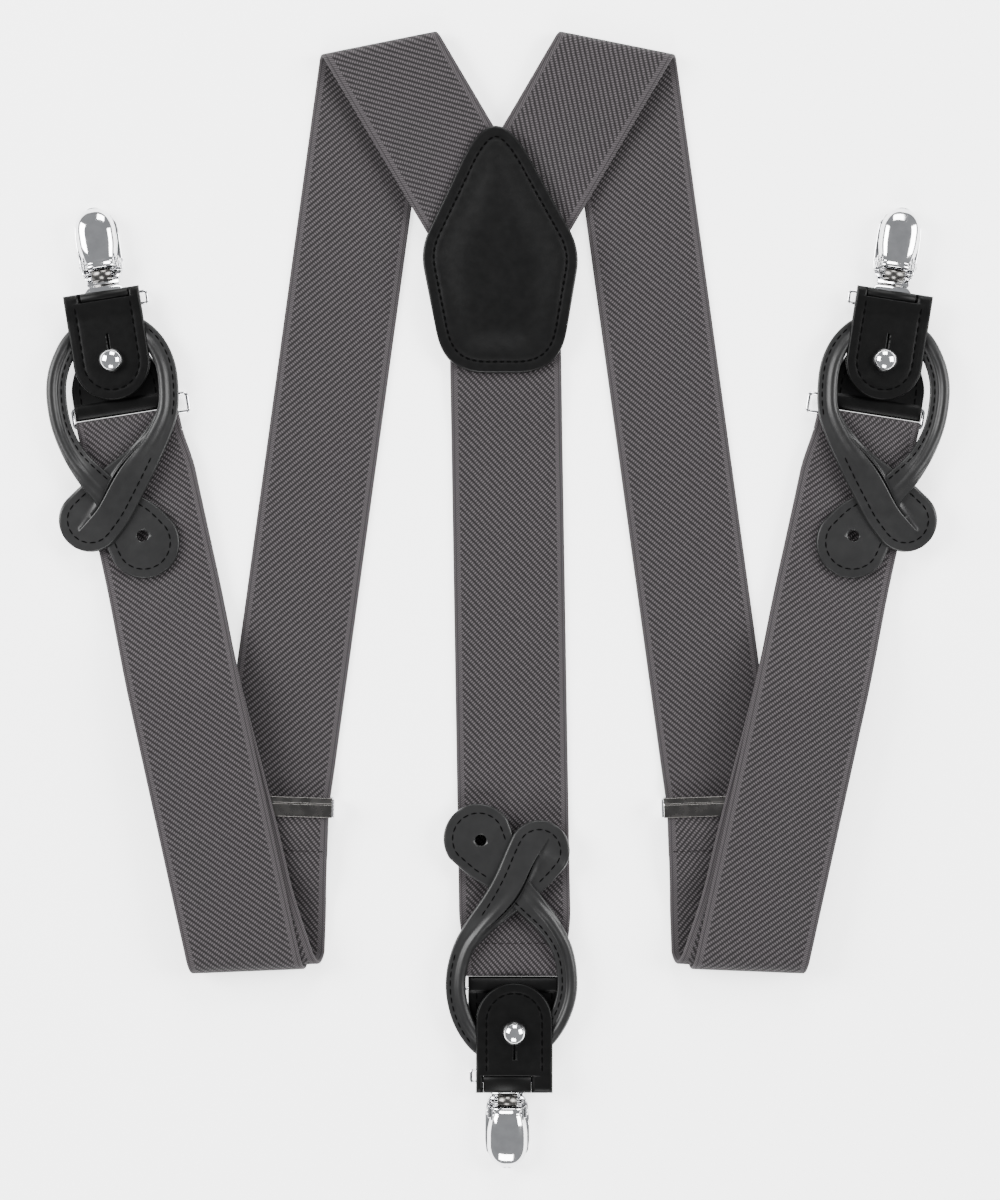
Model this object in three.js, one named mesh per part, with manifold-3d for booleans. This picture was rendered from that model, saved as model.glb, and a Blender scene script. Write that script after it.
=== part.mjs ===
// Suspenders with three convertible ends, laid flat and folded on a table.
// Millimetres. +Z is up from the table, +Y runs from the back clip to the top folds, X = 0 is the middle.
import * as THREE from "three";
import { mergeVertices } from "three/addons/utils/BufferGeometryUtils.js";
import Module from "manifold-3d";

const wasm = await Module();
wasm.setup();

const DEG = Math.PI / 180;
const GAP = 0.25; // air between pieces that touch on the real object

// ---- Webbing ----
const WEB_WIDTH = 35;
const WEB_THICK = 1.2;
const WEB_PITCH = WEB_THICK + GAP; // centre to centre of two layers that lie on each other
const TABLE_Z = WEB_THICK / 2 + 0.02; // centre height of webbing that lies on the table

// ---- Front strap, left side (the right one is its mirror image) ----
const STRAP_START = new THREE.Vector2(4.98, 103.4); // middle of the square end under the patch
const UNDER_PATCH = 46; // length that keeps its layer height under the patch
const TOP_LEAN = 30.6; // degrees, the run from the patch to the top fold
const TOP_FOLD_TILT = 11.4;
const TOP_FOLD_RADIUS = 2.2;
const TOP_FOLD_POINT = new THREE.Vector2(-37.3, 175.0); // on the crease's outer edge
const BOTTOM_FOLD_TILT = 2.3;
const BOTTOM_FOLD_RADIUS = 4.6;
const BOTTOM_FOLD_POINT = new THREE.Vector2(-76.0, -116.2);
const RING_POINT = new THREE.Vector2(-115.45, 59.5); // middle of the left webbing ring
const END_TILT = 8.9; // degrees, the left clip end leans this much to the left
const DESCENT_FROM = 80; // along the front run from the bottom fold, where it starts down to the table
const DESCENT_TO = 121;

// ---- Adjuster slide ----
const SLIDE_Y = -64.4; // height on the sheet where the slide sits on the strap
const SLIDE_TILT = -2.0;
const SLIDE_WIDTH = 39;
const SLIDE_HEIGHT = 6.2;
const RAIL_THICK = 1.0;
const TOP_BAR = { y: 1.9, depth: 2.0, z0: 0.15, z1: 1.15 };
const LOOP_BAR = { y: -2.2, depth: 2.0, z0: 4.1, z1: 4.9 };
const PLATE = { z0: 6.45, z1: 7.25 };
const STRAP_LIFT = 1.35; // how far the top bar lifts the strap
const HEM_LENGTH = 14; // hidden end of the return strap, sewn behind it

// ---- Wire rings and connector ----
const WIRE_Z = 2.0;
const RING_WIRE = 1.2;
const RING_LENGTH = 37.6;
const RING_HEIGHT = 7;
const TAB_RING_WIRE = 1.0;
const TAB_RING_LENGTH = 25;
const TAB_RING_HEIGHT = 4.7;
const TAB_RING_Y = 34.7;
const WIRE_CLEARANCE = 0.12;
const LOOP_LEATHER = 0.8; // skived leather round a wire
const CONNECTOR_THICK = 2.0;
const CONNECTOR_WIDE = 29;
const CONNECTOR_NARROW = 18.4;

// ---- Clip tab, stud and button loop ----
const TAB_WIDTH = 24;
const TAB_ROUND_END = 3.6;
const TAB_FOLD = 38.1;
const TAB_Z = { low: 5.1, high: 7.1 };
const NECK_NOTCH = 15; // opening in the tab's fold where the clip's neck comes out
const STUD_Y = 16.1;
const STUD_BALL = 7.5;
const STUD_POST = 3.4;
const LOOP_PLATE_Z = { low: 3.7, high: 4.7 };
const ARM_WIDTH = 6.3;
const ARM_Z = { low: 4.15, high: 6.4 };
const EAR_THICK = 1.7;
const BUTTONHOLE = 3.6;

// ---- Clip ----
const BAR_Z = 6.1;
const BAR_Y = 36.3;
const BAR_RADIUS = 0.8;
const BAR_REACH = 9.4;
const PIN_Y = 46.6;
const PIN_Z = 4.6;
const PIN_RADIUS = 0.7;
const PIN_CLEARANCE = 0.08;
const CLIP_TIP = 64.9;
const BASE_HALF_WIDTH = 7.0;
const EAR_OUTER = 6.1;
const SHEET = 0.7; // clip sheet metal

// ---- Patch and back strap ----
const PATCH_CENTRE = new THREE.Vector2(0.95, 111.0);
const PATCH_LEATHER = 1.2;
const BACK_STRAP_LEAN = 0.94;
const BACK_RING_POINT = new THREE.Vector2(5.6, -119.2);
const BACK_STRAP_TOP = 106;
const LAYER_Z = { back: 2.15, right: 3.6, left: 5.05, leaf: 5.95 };

// ---- Materials ----
function material(color, roughness, metalness) {
  return new THREE.MeshStandardMaterial({ color, roughness, metalness });
}
const webbing = material(0x565254, 0.9, 0);
const leather = material(0x1b1b1c, 0.55, 0);
const softLeather = material(0x3a3a3b, 0.5, 0);
const chrome = material(0xc8cacc, 0.15, 1);
const nickel = material(0x6d6a68, 0.3, 1);

// ---- Helpers: closed meshes, booleans, ribbons and plates ----
const direction = (degrees) => new THREE.Vector2(Math.cos(degrees * DEG), Math.sin(degrees * DEG));
const smooth = (x) => THREE.MathUtils.smoothstep(x, 0, 1);

// A closed mesh from rows of points. Each row is a closed loop of equal length, and the ends are capped.
function loftLoops(rows) {
  const count = rows[0].length;
  const positions = rows.flat().flatMap((p) => [p.x, p.y, p.z]);
  const index = [];
  for (let r = 0; r + 1 < rows.length; r += 1) {
    for (let i = 0; i < count; i += 1) {
      const a = r * count + i;
      const b = r * count + ((i + 1) % count);
      index.push(a, b, b + count, a, b + count, a + count);
    }
  }
  const last = (rows.length - 1) * count;
  const half = count / 2;
  for (let i = 0; i + 1 < half; i += 1) {
    const j = count - 1 - i;
    index.push(i, j, i + 1, i + 1, j, j - 1);
    index.push(last + i, last + i + 1, last + j, last + i + 1, last + j - 1, last + j);
  }
  return closed(positions, index);
}

// Positions and triangles as a geometry that faces outwards.
function closed(positions, index) {
  const geometry = new THREE.BufferGeometry();
  geometry.setAttribute("position", new THREE.Float32BufferAttribute(positions, 3));
  geometry.setIndex(index);
  return volume(geometry) < 0 ? flipped(geometry) : geometry;
}

function volume(geometry) {
  const p = geometry.attributes.position;
  const corner = [new THREE.Vector3(), new THREE.Vector3(), new THREE.Vector3()];
  let sum = 0;
  for (let i = 0; i < geometry.index.count; i += 3) {
    corner.forEach((c, k) => c.fromBufferAttribute(p, geometry.index.getX(i + k)));
    sum += corner[0].dot(corner[1].clone().cross(corner[2]));
  }
  return sum / 6;
}

function flipped(geometry) {
  const index = Array.from(geometry.index.array);
  for (let i = 0; i < index.length; i += 3) {
    [index[i + 1], index[i + 2]] = [index[i + 2], index[i + 1]];
  }
  geometry.setIndex(index);
  return geometry;
}

function solid(geometry) {
  const bare = geometry.clone();
  bare.deleteAttribute("normal");
  bare.deleteAttribute("uv");
  const merged = mergeVertices(bare, 1e-4);
  const vertProperties = new Float32Array(merged.attributes.position.array);
  const triVerts = new Uint32Array(merged.index.array);
  return new wasm.Manifold(new wasm.Mesh({ numProp: 3, vertProperties, triVerts }));
}

function fromSolid(manifold) {
  const mesh = manifold.getMesh();
  const geometry = new THREE.BufferGeometry();
  geometry.setAttribute("position", new THREE.BufferAttribute(new Float32Array(mesh.vertProperties), 3));
  geometry.setIndex(new THREE.BufferAttribute(new Uint32Array(mesh.triVerts), 1));
  return geometry;
}

const join = (...parts) => fromSolid(parts.map(solid).reduce((a, b) => a.add(b)));
const cut = (body, ...tools) => fromSolid(tools.map(solid).reduce((a, b) => a.subtract(b), solid(body)));
const common = (a, b) => fromSolid(solid(a).intersect(solid(b)));

function box(x0, x1, y0, y1, z0, z1) {
  const geometry = new THREE.BoxGeometry(x1 - x0, y1 - y0, z1 - z0);
  return geometry.translate((x0 + x1) / 2, (y0 + y1) / 2, (z0 + z1) / 2);
}

// A cylinder along X.
function rodX(radius, x0, x1, y, z, sides = 20) {
  const geometry = new THREE.CylinderGeometry(radius, radius, x1 - x0, sides).rotateZ(90 * DEG);
  return geometry.translate((x0 + x1) / 2, y, z);
}

// An outline in the XY plane, extruded from z0 to z1.
function prism(shape, z0, z1, curveSegments = 10) {
  const settings = { depth: z1 - z0, bevelEnabled: false, curveSegments };
  return new THREE.ExtrudeGeometry(shape, settings).translate(0, 0, z0);
}

// An outline drawn in (y, z), extruded along X from x0 to x1.
function sideProfile(shape, x0, x1) {
  const settings = { depth: x1 - x0, bevelEnabled: false, curveSegments: 8 };
  const geometry = new THREE.ExtrudeGeometry(shape, settings);
  const axes = new THREE.Matrix4().set(0, 0, 1, x0, 1, 0, 0, 0, 0, 1, 0, 0, 0, 0, 0, 1);
  return geometry.applyMatrix4(axes);
}

// The outline of a path of (a, b) points thickened to both sides.
function thickPath(points, thickness) {
  const sides = [[], []];
  points.forEach((p, i) => {
    const before = points[Math.max(i - 1, 0)];
    const after = points[Math.min(i + 1, points.length - 1)];
    const t = after.clone().sub(before).normalize();
    const n = new THREE.Vector2(-t.y, t.x).multiplyScalar(thickness / 2);
    sides[0].push(p.clone().add(n));
    sides[1].push(p.clone().sub(n));
  });
  return new THREE.Shape([...sides[0], ...sides[1].reverse()]);
}

const arcPoints = (cx, cy, radius, from, to, steps) =>
  Array.from({ length: steps + 1 }, (_, i) => {
    const angle = (from + ((to - from) * i) / steps) * DEG;
    return new THREE.Vector2(cx + radius * Math.cos(angle), cy + radius * Math.sin(angle));
  });

// A plate over a star-shaped outline, with its own top and bottom height at each point.
function contouredPlate(outline, centre, rings, top, bottom) {
  const positions = [];
  const index = [];
  const count = outline.length;
  const surface = (height) => {
    const base = positions.length / 3;
    positions.push(centre.x, centre.y, height(centre.x, centre.y, 0));
    for (const r of rings) {
      for (const p of outline) {
        const x = centre.x + (p.x - centre.x) * r;
        const y = centre.y + (p.y - centre.y) * r;
        positions.push(x, y, height(x, y, r));
      }
    }
    return base;
  };
  const upper = surface(top);
  const lower = surface(bottom);
  for (let i = 0; i < count; i += 1) {
    const j = (i + 1) % count;
    index.push(upper, upper + 1 + i, upper + 1 + j, lower, lower + 1 + j, lower + 1 + i);
    for (let r = 0; r + 1 < rings.length; r += 1) {
      const a = 1 + r * count;
      const b = a + count;
      index.push(upper + a + i, upper + b + i, upper + b + j, upper + a + i, upper + b + j, upper + a + j);
      index.push(lower + a + i, lower + b + j, lower + b + i, lower + a + i, lower + a + j, lower + b + j);
    }
    const rim = 1 + (rings.length - 1) * count;
    index.push(upper + rim + i, lower + rim + i, lower + rim + j);
    index.push(upper + rim + i, lower + rim + j, upper + rim + j);
  }
  return closed(positions, index);
}

// ---- The folded front strap as a map from (u, v, n) to space ----
// u runs along the webbing, v across it to the right, and n is the distance out of its face.
class Fold {
  constructor(tilt, radius, point, side) {
    this.along = direction(tilt);
    this.across = direction(tilt + 90).multiplyScalar(side);
    this.radius = radius;
    this.line = point.clone().addScaledVector(this.across, -(radius + WEB_THICK / 2));
    this.turn = Math.PI * radius;
  }

  // Height and distance of the flat sheet's point q past the fold line, and the face's lean there.
  profile(q) {
    if (q <= 0) return { h: q, lift: 0, lean: 0 };
    if (q >= this.turn) return { h: this.turn - q, lift: 2 * this.radius, lean: Math.PI };
    const lean = q / this.radius;
    return { h: this.radius * Math.sin(lean), lift: this.radius * (1 - Math.cos(lean)), lean };
  }

  place(point) {
    const offset = point.clone().sub(this.line);
    const q = offset.dot(this.across);
    const t = offset.dot(this.along);
    const { h, lift, lean } = this.profile(q);
    const flat = this.line.clone().addScaledVector(this.along, t).addScaledVector(this.across, h);
    return { flat, lift, lean, q };
  }
}

const topFold = new Fold(TOP_FOLD_TILT, TOP_FOLD_RADIUS, TOP_FOLD_POINT, 1);
const bottomFold = new Fold(BOTTOM_FOLD_TILT, BOTTOM_FOLD_RADIUS, BOTTOM_FOLD_POINT, -1);
const topRun = direction(90 + TOP_LEAN);
const topRunRight = direction(TOP_LEAN);

// Length along the middle of the strap to each fold line, to the slide and to the ring.
const uTop = topFold.line.clone().sub(STRAP_START).dot(topFold.across) / topRun.dot(topFold.across);
const middle = (u) => topFold.place(STRAP_START.clone().addScaledVector(topRun, u)).flat;
const backRunAt = middle(uTop + topFold.turn + 50);
const backRun = middle(uTop + topFold.turn + 51).sub(backRunAt);
const backRunSpeed = backRun.length();
backRun.normalize();
const uAtY = (y) => uTop + topFold.turn + 50 + (y - backRunAt.y) / backRun.y / backRunSpeed;
const uSlide = uAtY(SLIDE_Y);
const toBottom = bottomFold.line.clone().sub(backRunAt).dot(bottomFold.across);
const bottomGap = toBottom / backRun.dot(bottomFold.across);
const uBottom = uTop + topFold.turn + 50 + bottomGap;
const frontRunMiddle = (u) => bottomFold.place(middle(u)).flat;
const afterBottom = uBottom + bottomFold.turn;
const frontRun = frontRunMiddle(afterBottom + 60).sub(frontRunMiddle(afterBottom + 10)).normalize();
const uRing = afterBottom + RING_POINT.clone().sub(frontRunMiddle(afterBottom)).dot(frontRun);

const RING_MIDDLE_Z = WIRE_Z + RING_WIRE / 2 + WIRE_CLEARANCE + WEB_THICK / 2;

function frontRunHeight(past) {
  const top = TABLE_Z + 2 * BOTTOM_FOLD_RADIUS;
  return top + (RING_MIDDLE_Z - top) * smooth((past - DESCENT_FROM) / (DESCENT_TO - DESCENT_FROM));
}

function strapPoint(u, v, n, patchHeight) {
  const flatSheet = STRAP_START.clone().addScaledVector(topRun, u).addScaledVector(topRunRight, v);
  const upper = topFold.place(flatSheet);
  const point = upper.flat.clone();
  let z = TABLE_Z + 2 * TOP_FOLD_RADIUS - upper.lift;
  const fromPatch = smooth((u - UNDER_PATCH) / (uTop - 4 - UNDER_PATCH));
  z += (patchHeight - TABLE_Z - 2 * TOP_FOLD_RADIUS) * (1 - fromPatch);
  let face = upper.lean;
  let out = topFold.across;
  if (upper.q > topFold.turn + 20) {
    const lower = bottomFold.place(point);
    point.copy(lower.flat);
    z = TABLE_Z + lower.lift;
    if (lower.q > bottomFold.turn) z = frontRunHeight(lower.q - bottomFold.turn);
    face = Math.PI + lower.lean;
    if (lower.q > 0) out = bottomFold.across;
  }
  point.addScaledVector(out, n * Math.abs(Math.sin(face)));
  return new THREE.Vector3(point.x, point.y, z + n * Math.cos(face));
}

// Rows of a ribbon follow a path of {u, n, skew, slip, pinch}: skew slants the row, slip moves it sideways
// and pinch narrows it, as webbing bunches between the bends of a wire ring.
function ribbon(path, toSpace, columns = 3) {
  const rows = path.map((station, i) => {
    const before = path[Math.max(i - 1, 0)];
    const after = path[Math.min(i + 1, path.length - 1)];
    const length = Math.hypot(after.u - before.u, after.n - before.n);
    const du = ((after.u - before.u) / length) * (WEB_THICK / 2);
    const dn = ((after.n - before.n) / length) * (WEB_THICK / 2);
    const side = (sign) =>
      Array.from({ length: columns + 1 }, (_, k) => {
        const v = (k / columns - 0.5) * WEB_WIDTH * (station.pinch ?? 1);
        const u = station.u + v * station.skew - sign * dn;
        return toSpace(u, v + station.slip, station.n + sign * du);
      });
    return [...side(1), ...side(-1).reverse()];
  });
  return loftLoops(rows);
}

const range = (from, to, steps) =>
  Array.from({ length: steps + 1 }, (_, i) => from + ((to - from) * i) / steps);

// The slant of a row that is parallel to a fold line, for the run that enters it.
function rowSkew(fold, run, right) {
  return -right.dot(fold.across) / run.dot(fold.across);
}
const topSkew = rowSkew(topFold, topRun, topRunRight);
const backRunRight = new THREE.Vector2(-backRun.y, backRun.x);
const bottomSkew = rowSkew(bottomFold, backRun, backRunRight);
const frontRunTilt = Math.atan2(frontRun.y, frontRun.x) / DEG - 90;
const ringSkew = Math.tan((END_TILT - frontRunTilt) * DEG);

function blendSkew(u) {
  const stops = [
    [0, 0],
    [uTop - 22, topSkew],
    [uTop + topFold.turn + 22, topSkew],
    [uSlide - 30, 0],
    [uSlide + 15, 0],
    [uBottom - 14, bottomSkew],
    [afterBottom + 14, bottomSkew],
    [afterBottom + 60, 0],
    [uRing - 40, 0],
    [uRing - 12, ringSkew],
    [uRing + 20, ringSkew],
  ];
  const next = stops.findIndex((s) => s[0] > u);
  if (next <= 0) return next === 0 ? 0 : ringSkew;
  const [u0, s0] = stops[next - 1];
  const [u1, s1] = stops[next];
  return s0 + (s1 - s0) * smooth((u - u0) / (u1 - u0));
}

const WRAP_RADIUS = RING_WIRE / 2 + WIRE_CLEARANCE + WEB_THICK / 2;
const RING_BAR = RING_HEIGHT / 2 - RING_WIRE / 2; // from the ring's middle to the webbing's wire
const RING_PINCH = 0.92;
const pinchAt = (distance) => 1 - (1 - RING_PINCH) * (1 - smooth((distance - 3) / 16));

// The wrap round a ring's wire: half a turn, then a short limb back under the strap.
function wrapPath(uWire, limb, skew) {
  const turn = range(0, 180, 10).map((a) => ({
    u: uWire + WRAP_RADIUS * Math.sin(a * DEG),
    n: -WRAP_RADIUS * (1 - Math.cos(a * DEG)),
    skew,
    slip: 0,
    pinch: RING_PINCH,
  }));
  return [...turn, { u: uWire - limb, n: -2 * WRAP_RADIUS, skew, slip: 0, pinch: pinchAt(limb) }];
}

const slideLift = (u) => {
  const rise = smooth((u - (uSlide - 16)) / 11);
  const fall = 1 - smooth((u - (uSlide + 4)) / 12);
  return -STRAP_LIFT * Math.min(rise, fall);
};

function frontStrap(patchHeight) {
  const stations = [
    ...range(0, uTop - 2, 8),
    ...range(uTop, uTop + topFold.turn, 10),
    ...range(uTop + topFold.turn + 3, uSlide - 24, 10),
    ...range(uSlide - 17, uSlide + 17, 14),
    ...range(uSlide + 22, uBottom - 2, 4),
    ...range(uBottom, afterBottom, 14),
    ...range(afterBottom + 4, afterBottom + DESCENT_FROM - 4, 6),
    ...range(afterBottom + DESCENT_FROM, afterBottom + DESCENT_TO, 9),
    ...range(afterBottom + DESCENT_TO + 4, uRing - RING_BAR - 3, 5),
  ];
  const path = stations.map((u) => {
    return { u, n: slideLift(u), skew: blendSkew(u), slip: 0, pinch: pinchAt(uRing - RING_BAR - u) };
  });
  path.push(...wrapPath(uRing - RING_BAR, 5, ringSkew));
  return ribbon(path, (u, v, n) => strapPoint(u, v, n, patchHeight));
}

// The return strap is sewn round the slide's loop bar and slips sideways in the bottom fold.
const RETURN_LEAN = 5.8; // degrees between the return strap and the strap it lies on
const FRONT_SLIP = 1.9; // sideways, where it comes out of the bottom fold
const SLIP_SETTLES = 26; // length past the fold
const slipAt = (u) => {
  const atFold = (uBottom - uSlide) * Math.tan(RETURN_LEAN * DEG);
  if (u < uBottom) return Math.max(0, (u - uSlide) * Math.tan(RETURN_LEAN * DEG));
  const settled = afterBottom + SLIP_SETTLES;
  if (u < settled) return atFold + (FRONT_SLIP - atFold) * smooth((u - uBottom) / (settled - uBottom));
  return FRONT_SLIP * (1 - smooth((u - settled) / 70));
};
const returnSkew = (u) => {
  const beside = -Math.tan(RETURN_LEAN * DEG);
  return u < uSlide + 20 ? beside : beside + (blendSkew(u) - beside) * smooth((u - uSlide - 20) / 18);
};

function returnStrap() {
  const barU = uSlide - LOOP_BAR.y;
  const barN = -((LOOP_BAR.z0 + LOOP_BAR.z1) / 2 - TABLE_Z);
  const loopRadius = (LOOP_BAR.z1 - LOOP_BAR.z0) / 2 + 0.2 + WEB_THICK / 2;
  const turnU = barU - LOOP_BAR.depth / 2;
  const beside = -Math.tan(RETURN_LEAN * DEG);
  const pinch = (u) => pinchAt(uRing - RING_BAR - u);
  const station = (u, n) => ({ u, n, skew: returnSkew(u), slip: slipAt(u), pinch: pinch(u) });
  const hem = range(turnU + HEM_LENGTH, turnU + 2, 5).map((u) => station(u, barN + loopRadius));
  const turn = range(0, 180, 10).map((a) => ({
    u: turnU - loopRadius * Math.sin(a * DEG),
    n: barN + loopRadius * Math.cos(a * DEG),
    skew: beside,
    slip: slipAt(turnU),
  }));
  const high = barN - loopRadius;
  const low = -WEB_PITCH;
  const hemStep = 1.05;
  const step = (u) => {
    const offSlide = hemStep * smooth((u - turnU - 4) / 11);
    return high + offSlide + (low - high - hemStep) * smooth((u - turnU - 15) / 16);
  };
  const ringEnd = uRing - RING_BAR - 5.3;
  const ringDrop = (u) => low + (-2 * WRAP_RADIUS - low) * smooth((u - ringEnd + 26) / 20);
  const onward = [
    ...range(turnU + 2, uBottom - 2, 16).map((u) => station(u, step(u))),
    ...range(uBottom, afterBottom, 14).map((u) => station(u, low)),
    ...range(afterBottom + 4, afterBottom + DESCENT_FROM - 4, 5).map((u) => station(u, low)),
    ...range(afterBottom + DESCENT_FROM, afterBottom + DESCENT_TO, 9).map((u) => station(u, low)),
    ...range(afterBottom + DESCENT_TO + 2, ringEnd, 8).map((u) => station(u, ringDrop(u))),
  ];
  return ribbon([...hem, ...turn, ...onward], (u, v, n) => strapPoint(u, v, n, LAYER_Z.left));
}

// ---- Back strap ----
function backStrap() {
  const down = direction(-90 + BACK_STRAP_LEAN);
  const right = direction(BACK_STRAP_LEAN);
  const top = BACK_RING_POINT.clone().addScaledVector(down, -(BACK_STRAP_TOP - BACK_RING_POINT.y));
  const length = BACK_STRAP_TOP - BACK_RING_POINT.y;
  const uWire = length - RING_BAR;
  const height = (u) => {
    const fromPatch = LAYER_Z.back + (TABLE_Z - LAYER_Z.back) * smooth((u - 34) / 24);
    return fromPatch + (RING_MIDDLE_Z - TABLE_Z) * smooth((u - uWire + 42) / 30);
  };
  const skew = Math.tan(BACK_STRAP_LEAN * DEG);
  const flat = [...range(0, 60, 9), ...range(70, uWire - 44, 6), ...range(uWire - 40, uWire - 3, 9)];
  const path = flat.map((u) => {
    return { u, n: height(u), skew: skew * smooth((u - 60) / 40), slip: 0, pinch: pinchAt(uWire - u) };
  });
  const wrap = wrapPath(uWire, 12, skew).map((s) => ({ ...s, n: s.n + RING_MIDDLE_Z }));
  return ribbon([...path, ...wrap], (u, v, n) => {
    const p = top.clone().addScaledVector(down, u).addScaledVector(right, v);
    return new THREE.Vector3(p.x, p.y, n);
  });
}

// ---- Back patch ----
function roundedPolygon(corners, steps = 6) {
  const points = [];
  corners.forEach(({ x, y, radius }, i) => {
    const at = new THREE.Vector2(x, y);
    const before = corners.at(i - 1);
    const after = corners[(i + 1) % corners.length];
    const a = new THREE.Vector2(before.x, before.y).sub(at).normalize();
    const b = new THREE.Vector2(after.x, after.y).sub(at).normalize();
    const half = Math.acos(THREE.MathUtils.clamp(a.dot(b), -1, 1)) / 2;
    const back = radius / Math.tan(half);
    const start = at.clone().addScaledVector(a, back);
    const end = at.clone().addScaledVector(b, back);
    const curve = new THREE.QuadraticBezierCurve(start, at, end);
    points.push(...curve.getPoints(steps));
  });
  return points;
}

function patchOutline() {
  const left = [
    { x: -1.3, y: 42.2, radius: 7.5 },
    { x: -26.4, y: -1.4, radius: 9 },
    { x: -17.6, y: -39.6, radius: 9 },
  ];
  const right = [
    { x: 18.6, y: -39.6, radius: 9 },
    { x: 25.4, y: -1.4, radius: 9 },
  ];
  return roundedPolygon([...left, ...right]).map((p) => p.add(PATCH_CENTRE));
}

function patchFront() {
  const outline = patchOutline();
  const settle = (y) => 2.7 * smooth((PATCH_CENTRE.y - 16 - y) / 24);
  const under = (x, y) => LAYER_Z.leaf - settle(y);
  const crown = (r) => 1.1 * (1 - smooth((r - 0.45) / 0.4));
  const rings = [0.25, 0.45, 0.6, 0.75, 0.88, 1];
  const over = (x, y, r) => under(x, y) + PATCH_LEATHER + crown(r);
  return contouredPlate(outline, PATCH_CENTRE, rings, over, under);
}

function patchBack() {
  const shape = new THREE.Shape(patchOutline());
  return prism(shape, 0.1, 0.1 + PATCH_LEATHER);
}

// ---- Adjuster slide, in its own frame: x across the strap, y up the strap, z off the table ----
function adjuster() {
  const half = SLIDE_WIDTH / 2;
  const inner = half - RAIL_THICK;
  const tall = SLIDE_HEIGHT / 2;
  const bar = (b) => box(-inner - 0.1, inner + 0.1, b.y - b.depth / 2, b.y + b.depth / 2, b.z0, b.z1);
  const rails = [-1, 1].map((s) => {
    const x = s * (half - RAIL_THICK / 2);
    return box(x - RAIL_THICK / 2, x + RAIL_THICK / 2, -tall, tall, TOP_BAR.z0, PLATE.z1);
  });
  const plate = box(-inner - 0.1, inner + 0.1, -tall, tall, PLATE.z0, PLATE.z1);
  const groove = box(-half - 1, half + 1, 0.9, 1.3, PLATE.z1 - 0.3, PLATE.z1 + 1);
  return cut(join(...rails, bar(TOP_BAR), bar(LOOP_BAR), plate), groove);
}

// ---- Clip end, in its own frame: origin at the middle of the webbing ring, y towards the clip ----
function wireRing(length, height, wire, x, y) {
  const bend = wire * 0.75;
  const a = length / 2 - wire / 2;
  const b = height / 2 - wire / 2;
  const corner = (cx, cy, from) => {
    const round = (t, r) => new THREE.Vector3(cx + r * Math.cos(t * DEG), cy + r * Math.sin(t * DEG), 0);
    const control = round(from + 45, bend * Math.SQRT2);
    return new THREE.QuadraticBezierCurve3(round(from, bend), control, round(from + 90, bend));
  };
  const corners = [
    corner(a - bend, b - bend, 0),
    corner(-a + bend, b - bend, 90),
    corner(-a + bend, -b + bend, 180),
    corner(a - bend, -b + bend, 270),
  ];
  const points = corners.flatMap((c, i) => {
    const next = corners[(i + 1) % 4].getPoint(0);
    const straight = new THREE.LineCurve3(c.getPoint(1), next);
    return [...c.getPoints(4), straight.getPoint(0.5)];
  });
  const sides = 8;
  const rows = points.map((p, i) => {
    const before = points.at(i - 1);
    const after = points[(i + 1) % points.length];
    const t = after.clone().sub(before).normalize();
    const n = new THREE.Vector3(-t.y, t.x, 0);
    return Array.from({ length: sides }, (_, k) => {
      const angle = (k / sides) * 2 * Math.PI;
      const r = wire / 2;
      const middleOfWire = new THREE.Vector3(x, y, WIRE_Z + r * Math.sin(angle));
      return p.clone().addScaledVector(n, r * Math.cos(angle)).add(middleOfWire);
    });
  });
  const positions = rows.flat().flatMap((p) => [p.x, p.y, p.z]);
  const index = [];
  rows.forEach((_, i) => {
    const j = (i + 1) % rows.length;
    for (let k = 0; k < sides; k += 1) {
      const m = (k + 1) % sides;
      index.push(i * sides + k, i * sides + m, j * sides + m, i * sides + k, j * sides + m, j * sides + k);
    }
  });
  return closed(positions, index);
}

const ringWireY = RING_HEIGHT / 2 - RING_WIRE / 2;
const tabWireY = TAB_RING_HEIGHT / 2 - TAB_RING_WIRE / 2;

function studHole(z) {
  const radius = STUD_POST / 2 + 0.15;
  return new THREE.CylinderGeometry(radius, radius, 12, 20).rotateX(90 * DEG).translate(0, STUD_Y, z);
}

function connector(x, ringY) {
  const lowY = ringWireY;
  const highY = ringY - tabWireY;
  const loopRadius = (wire) => wire / 2 + WIRE_CLEARANCE + LOOP_LEATHER;
  const ends = [
    [lowY, RING_WIRE],
    [highY, TAB_RING_WIRE],
  ];
  const wide = CONNECTOR_WIDE / 2;
  const thick = CONNECTOR_THICK / 2;
  const slab = box(-wide, wide, lowY + 0.5, highY - 0.5, WIRE_Z - thick, WIRE_Z + thick);
  const eyes = ends.map(([y, wire]) => rodX(loopRadius(wire), -wide, wide, y, WIRE_Z, 24));
  const boreRadius = (wire) => wire / 2 + WIRE_CLEARANCE;
  const holes = ends.map(([y, wire]) => rodX(boreRadius(wire), -wide - 1, wide + 1, y, WIRE_Z, 20));
  const post = studHole(WIRE_Z);
  const top = CONNECTOR_NARROW / 2;
  const outline = new THREE.Shape();
  outline.moveTo(-wide, lowY - 3);
  outline.lineTo(wide, lowY - 3);
  outline.lineTo(wide, lowY + 3);
  outline.bezierCurveTo(wide, lowY + 14, top, lowY + 12, top, lowY + 26);
  outline.lineTo(top, highY + 3);
  outline.lineTo(-top, highY + 3);
  outline.lineTo(-top, lowY + 26);
  outline.bezierCurveTo(-top, lowY + 12, -wide, lowY + 14, -wide, lowY + 3);
  const body = cut(join(slab, ...eyes), ...holes, post);
  return common(body, prism(outline, -1, 6)).translate(x, 0, 0);
}

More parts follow.
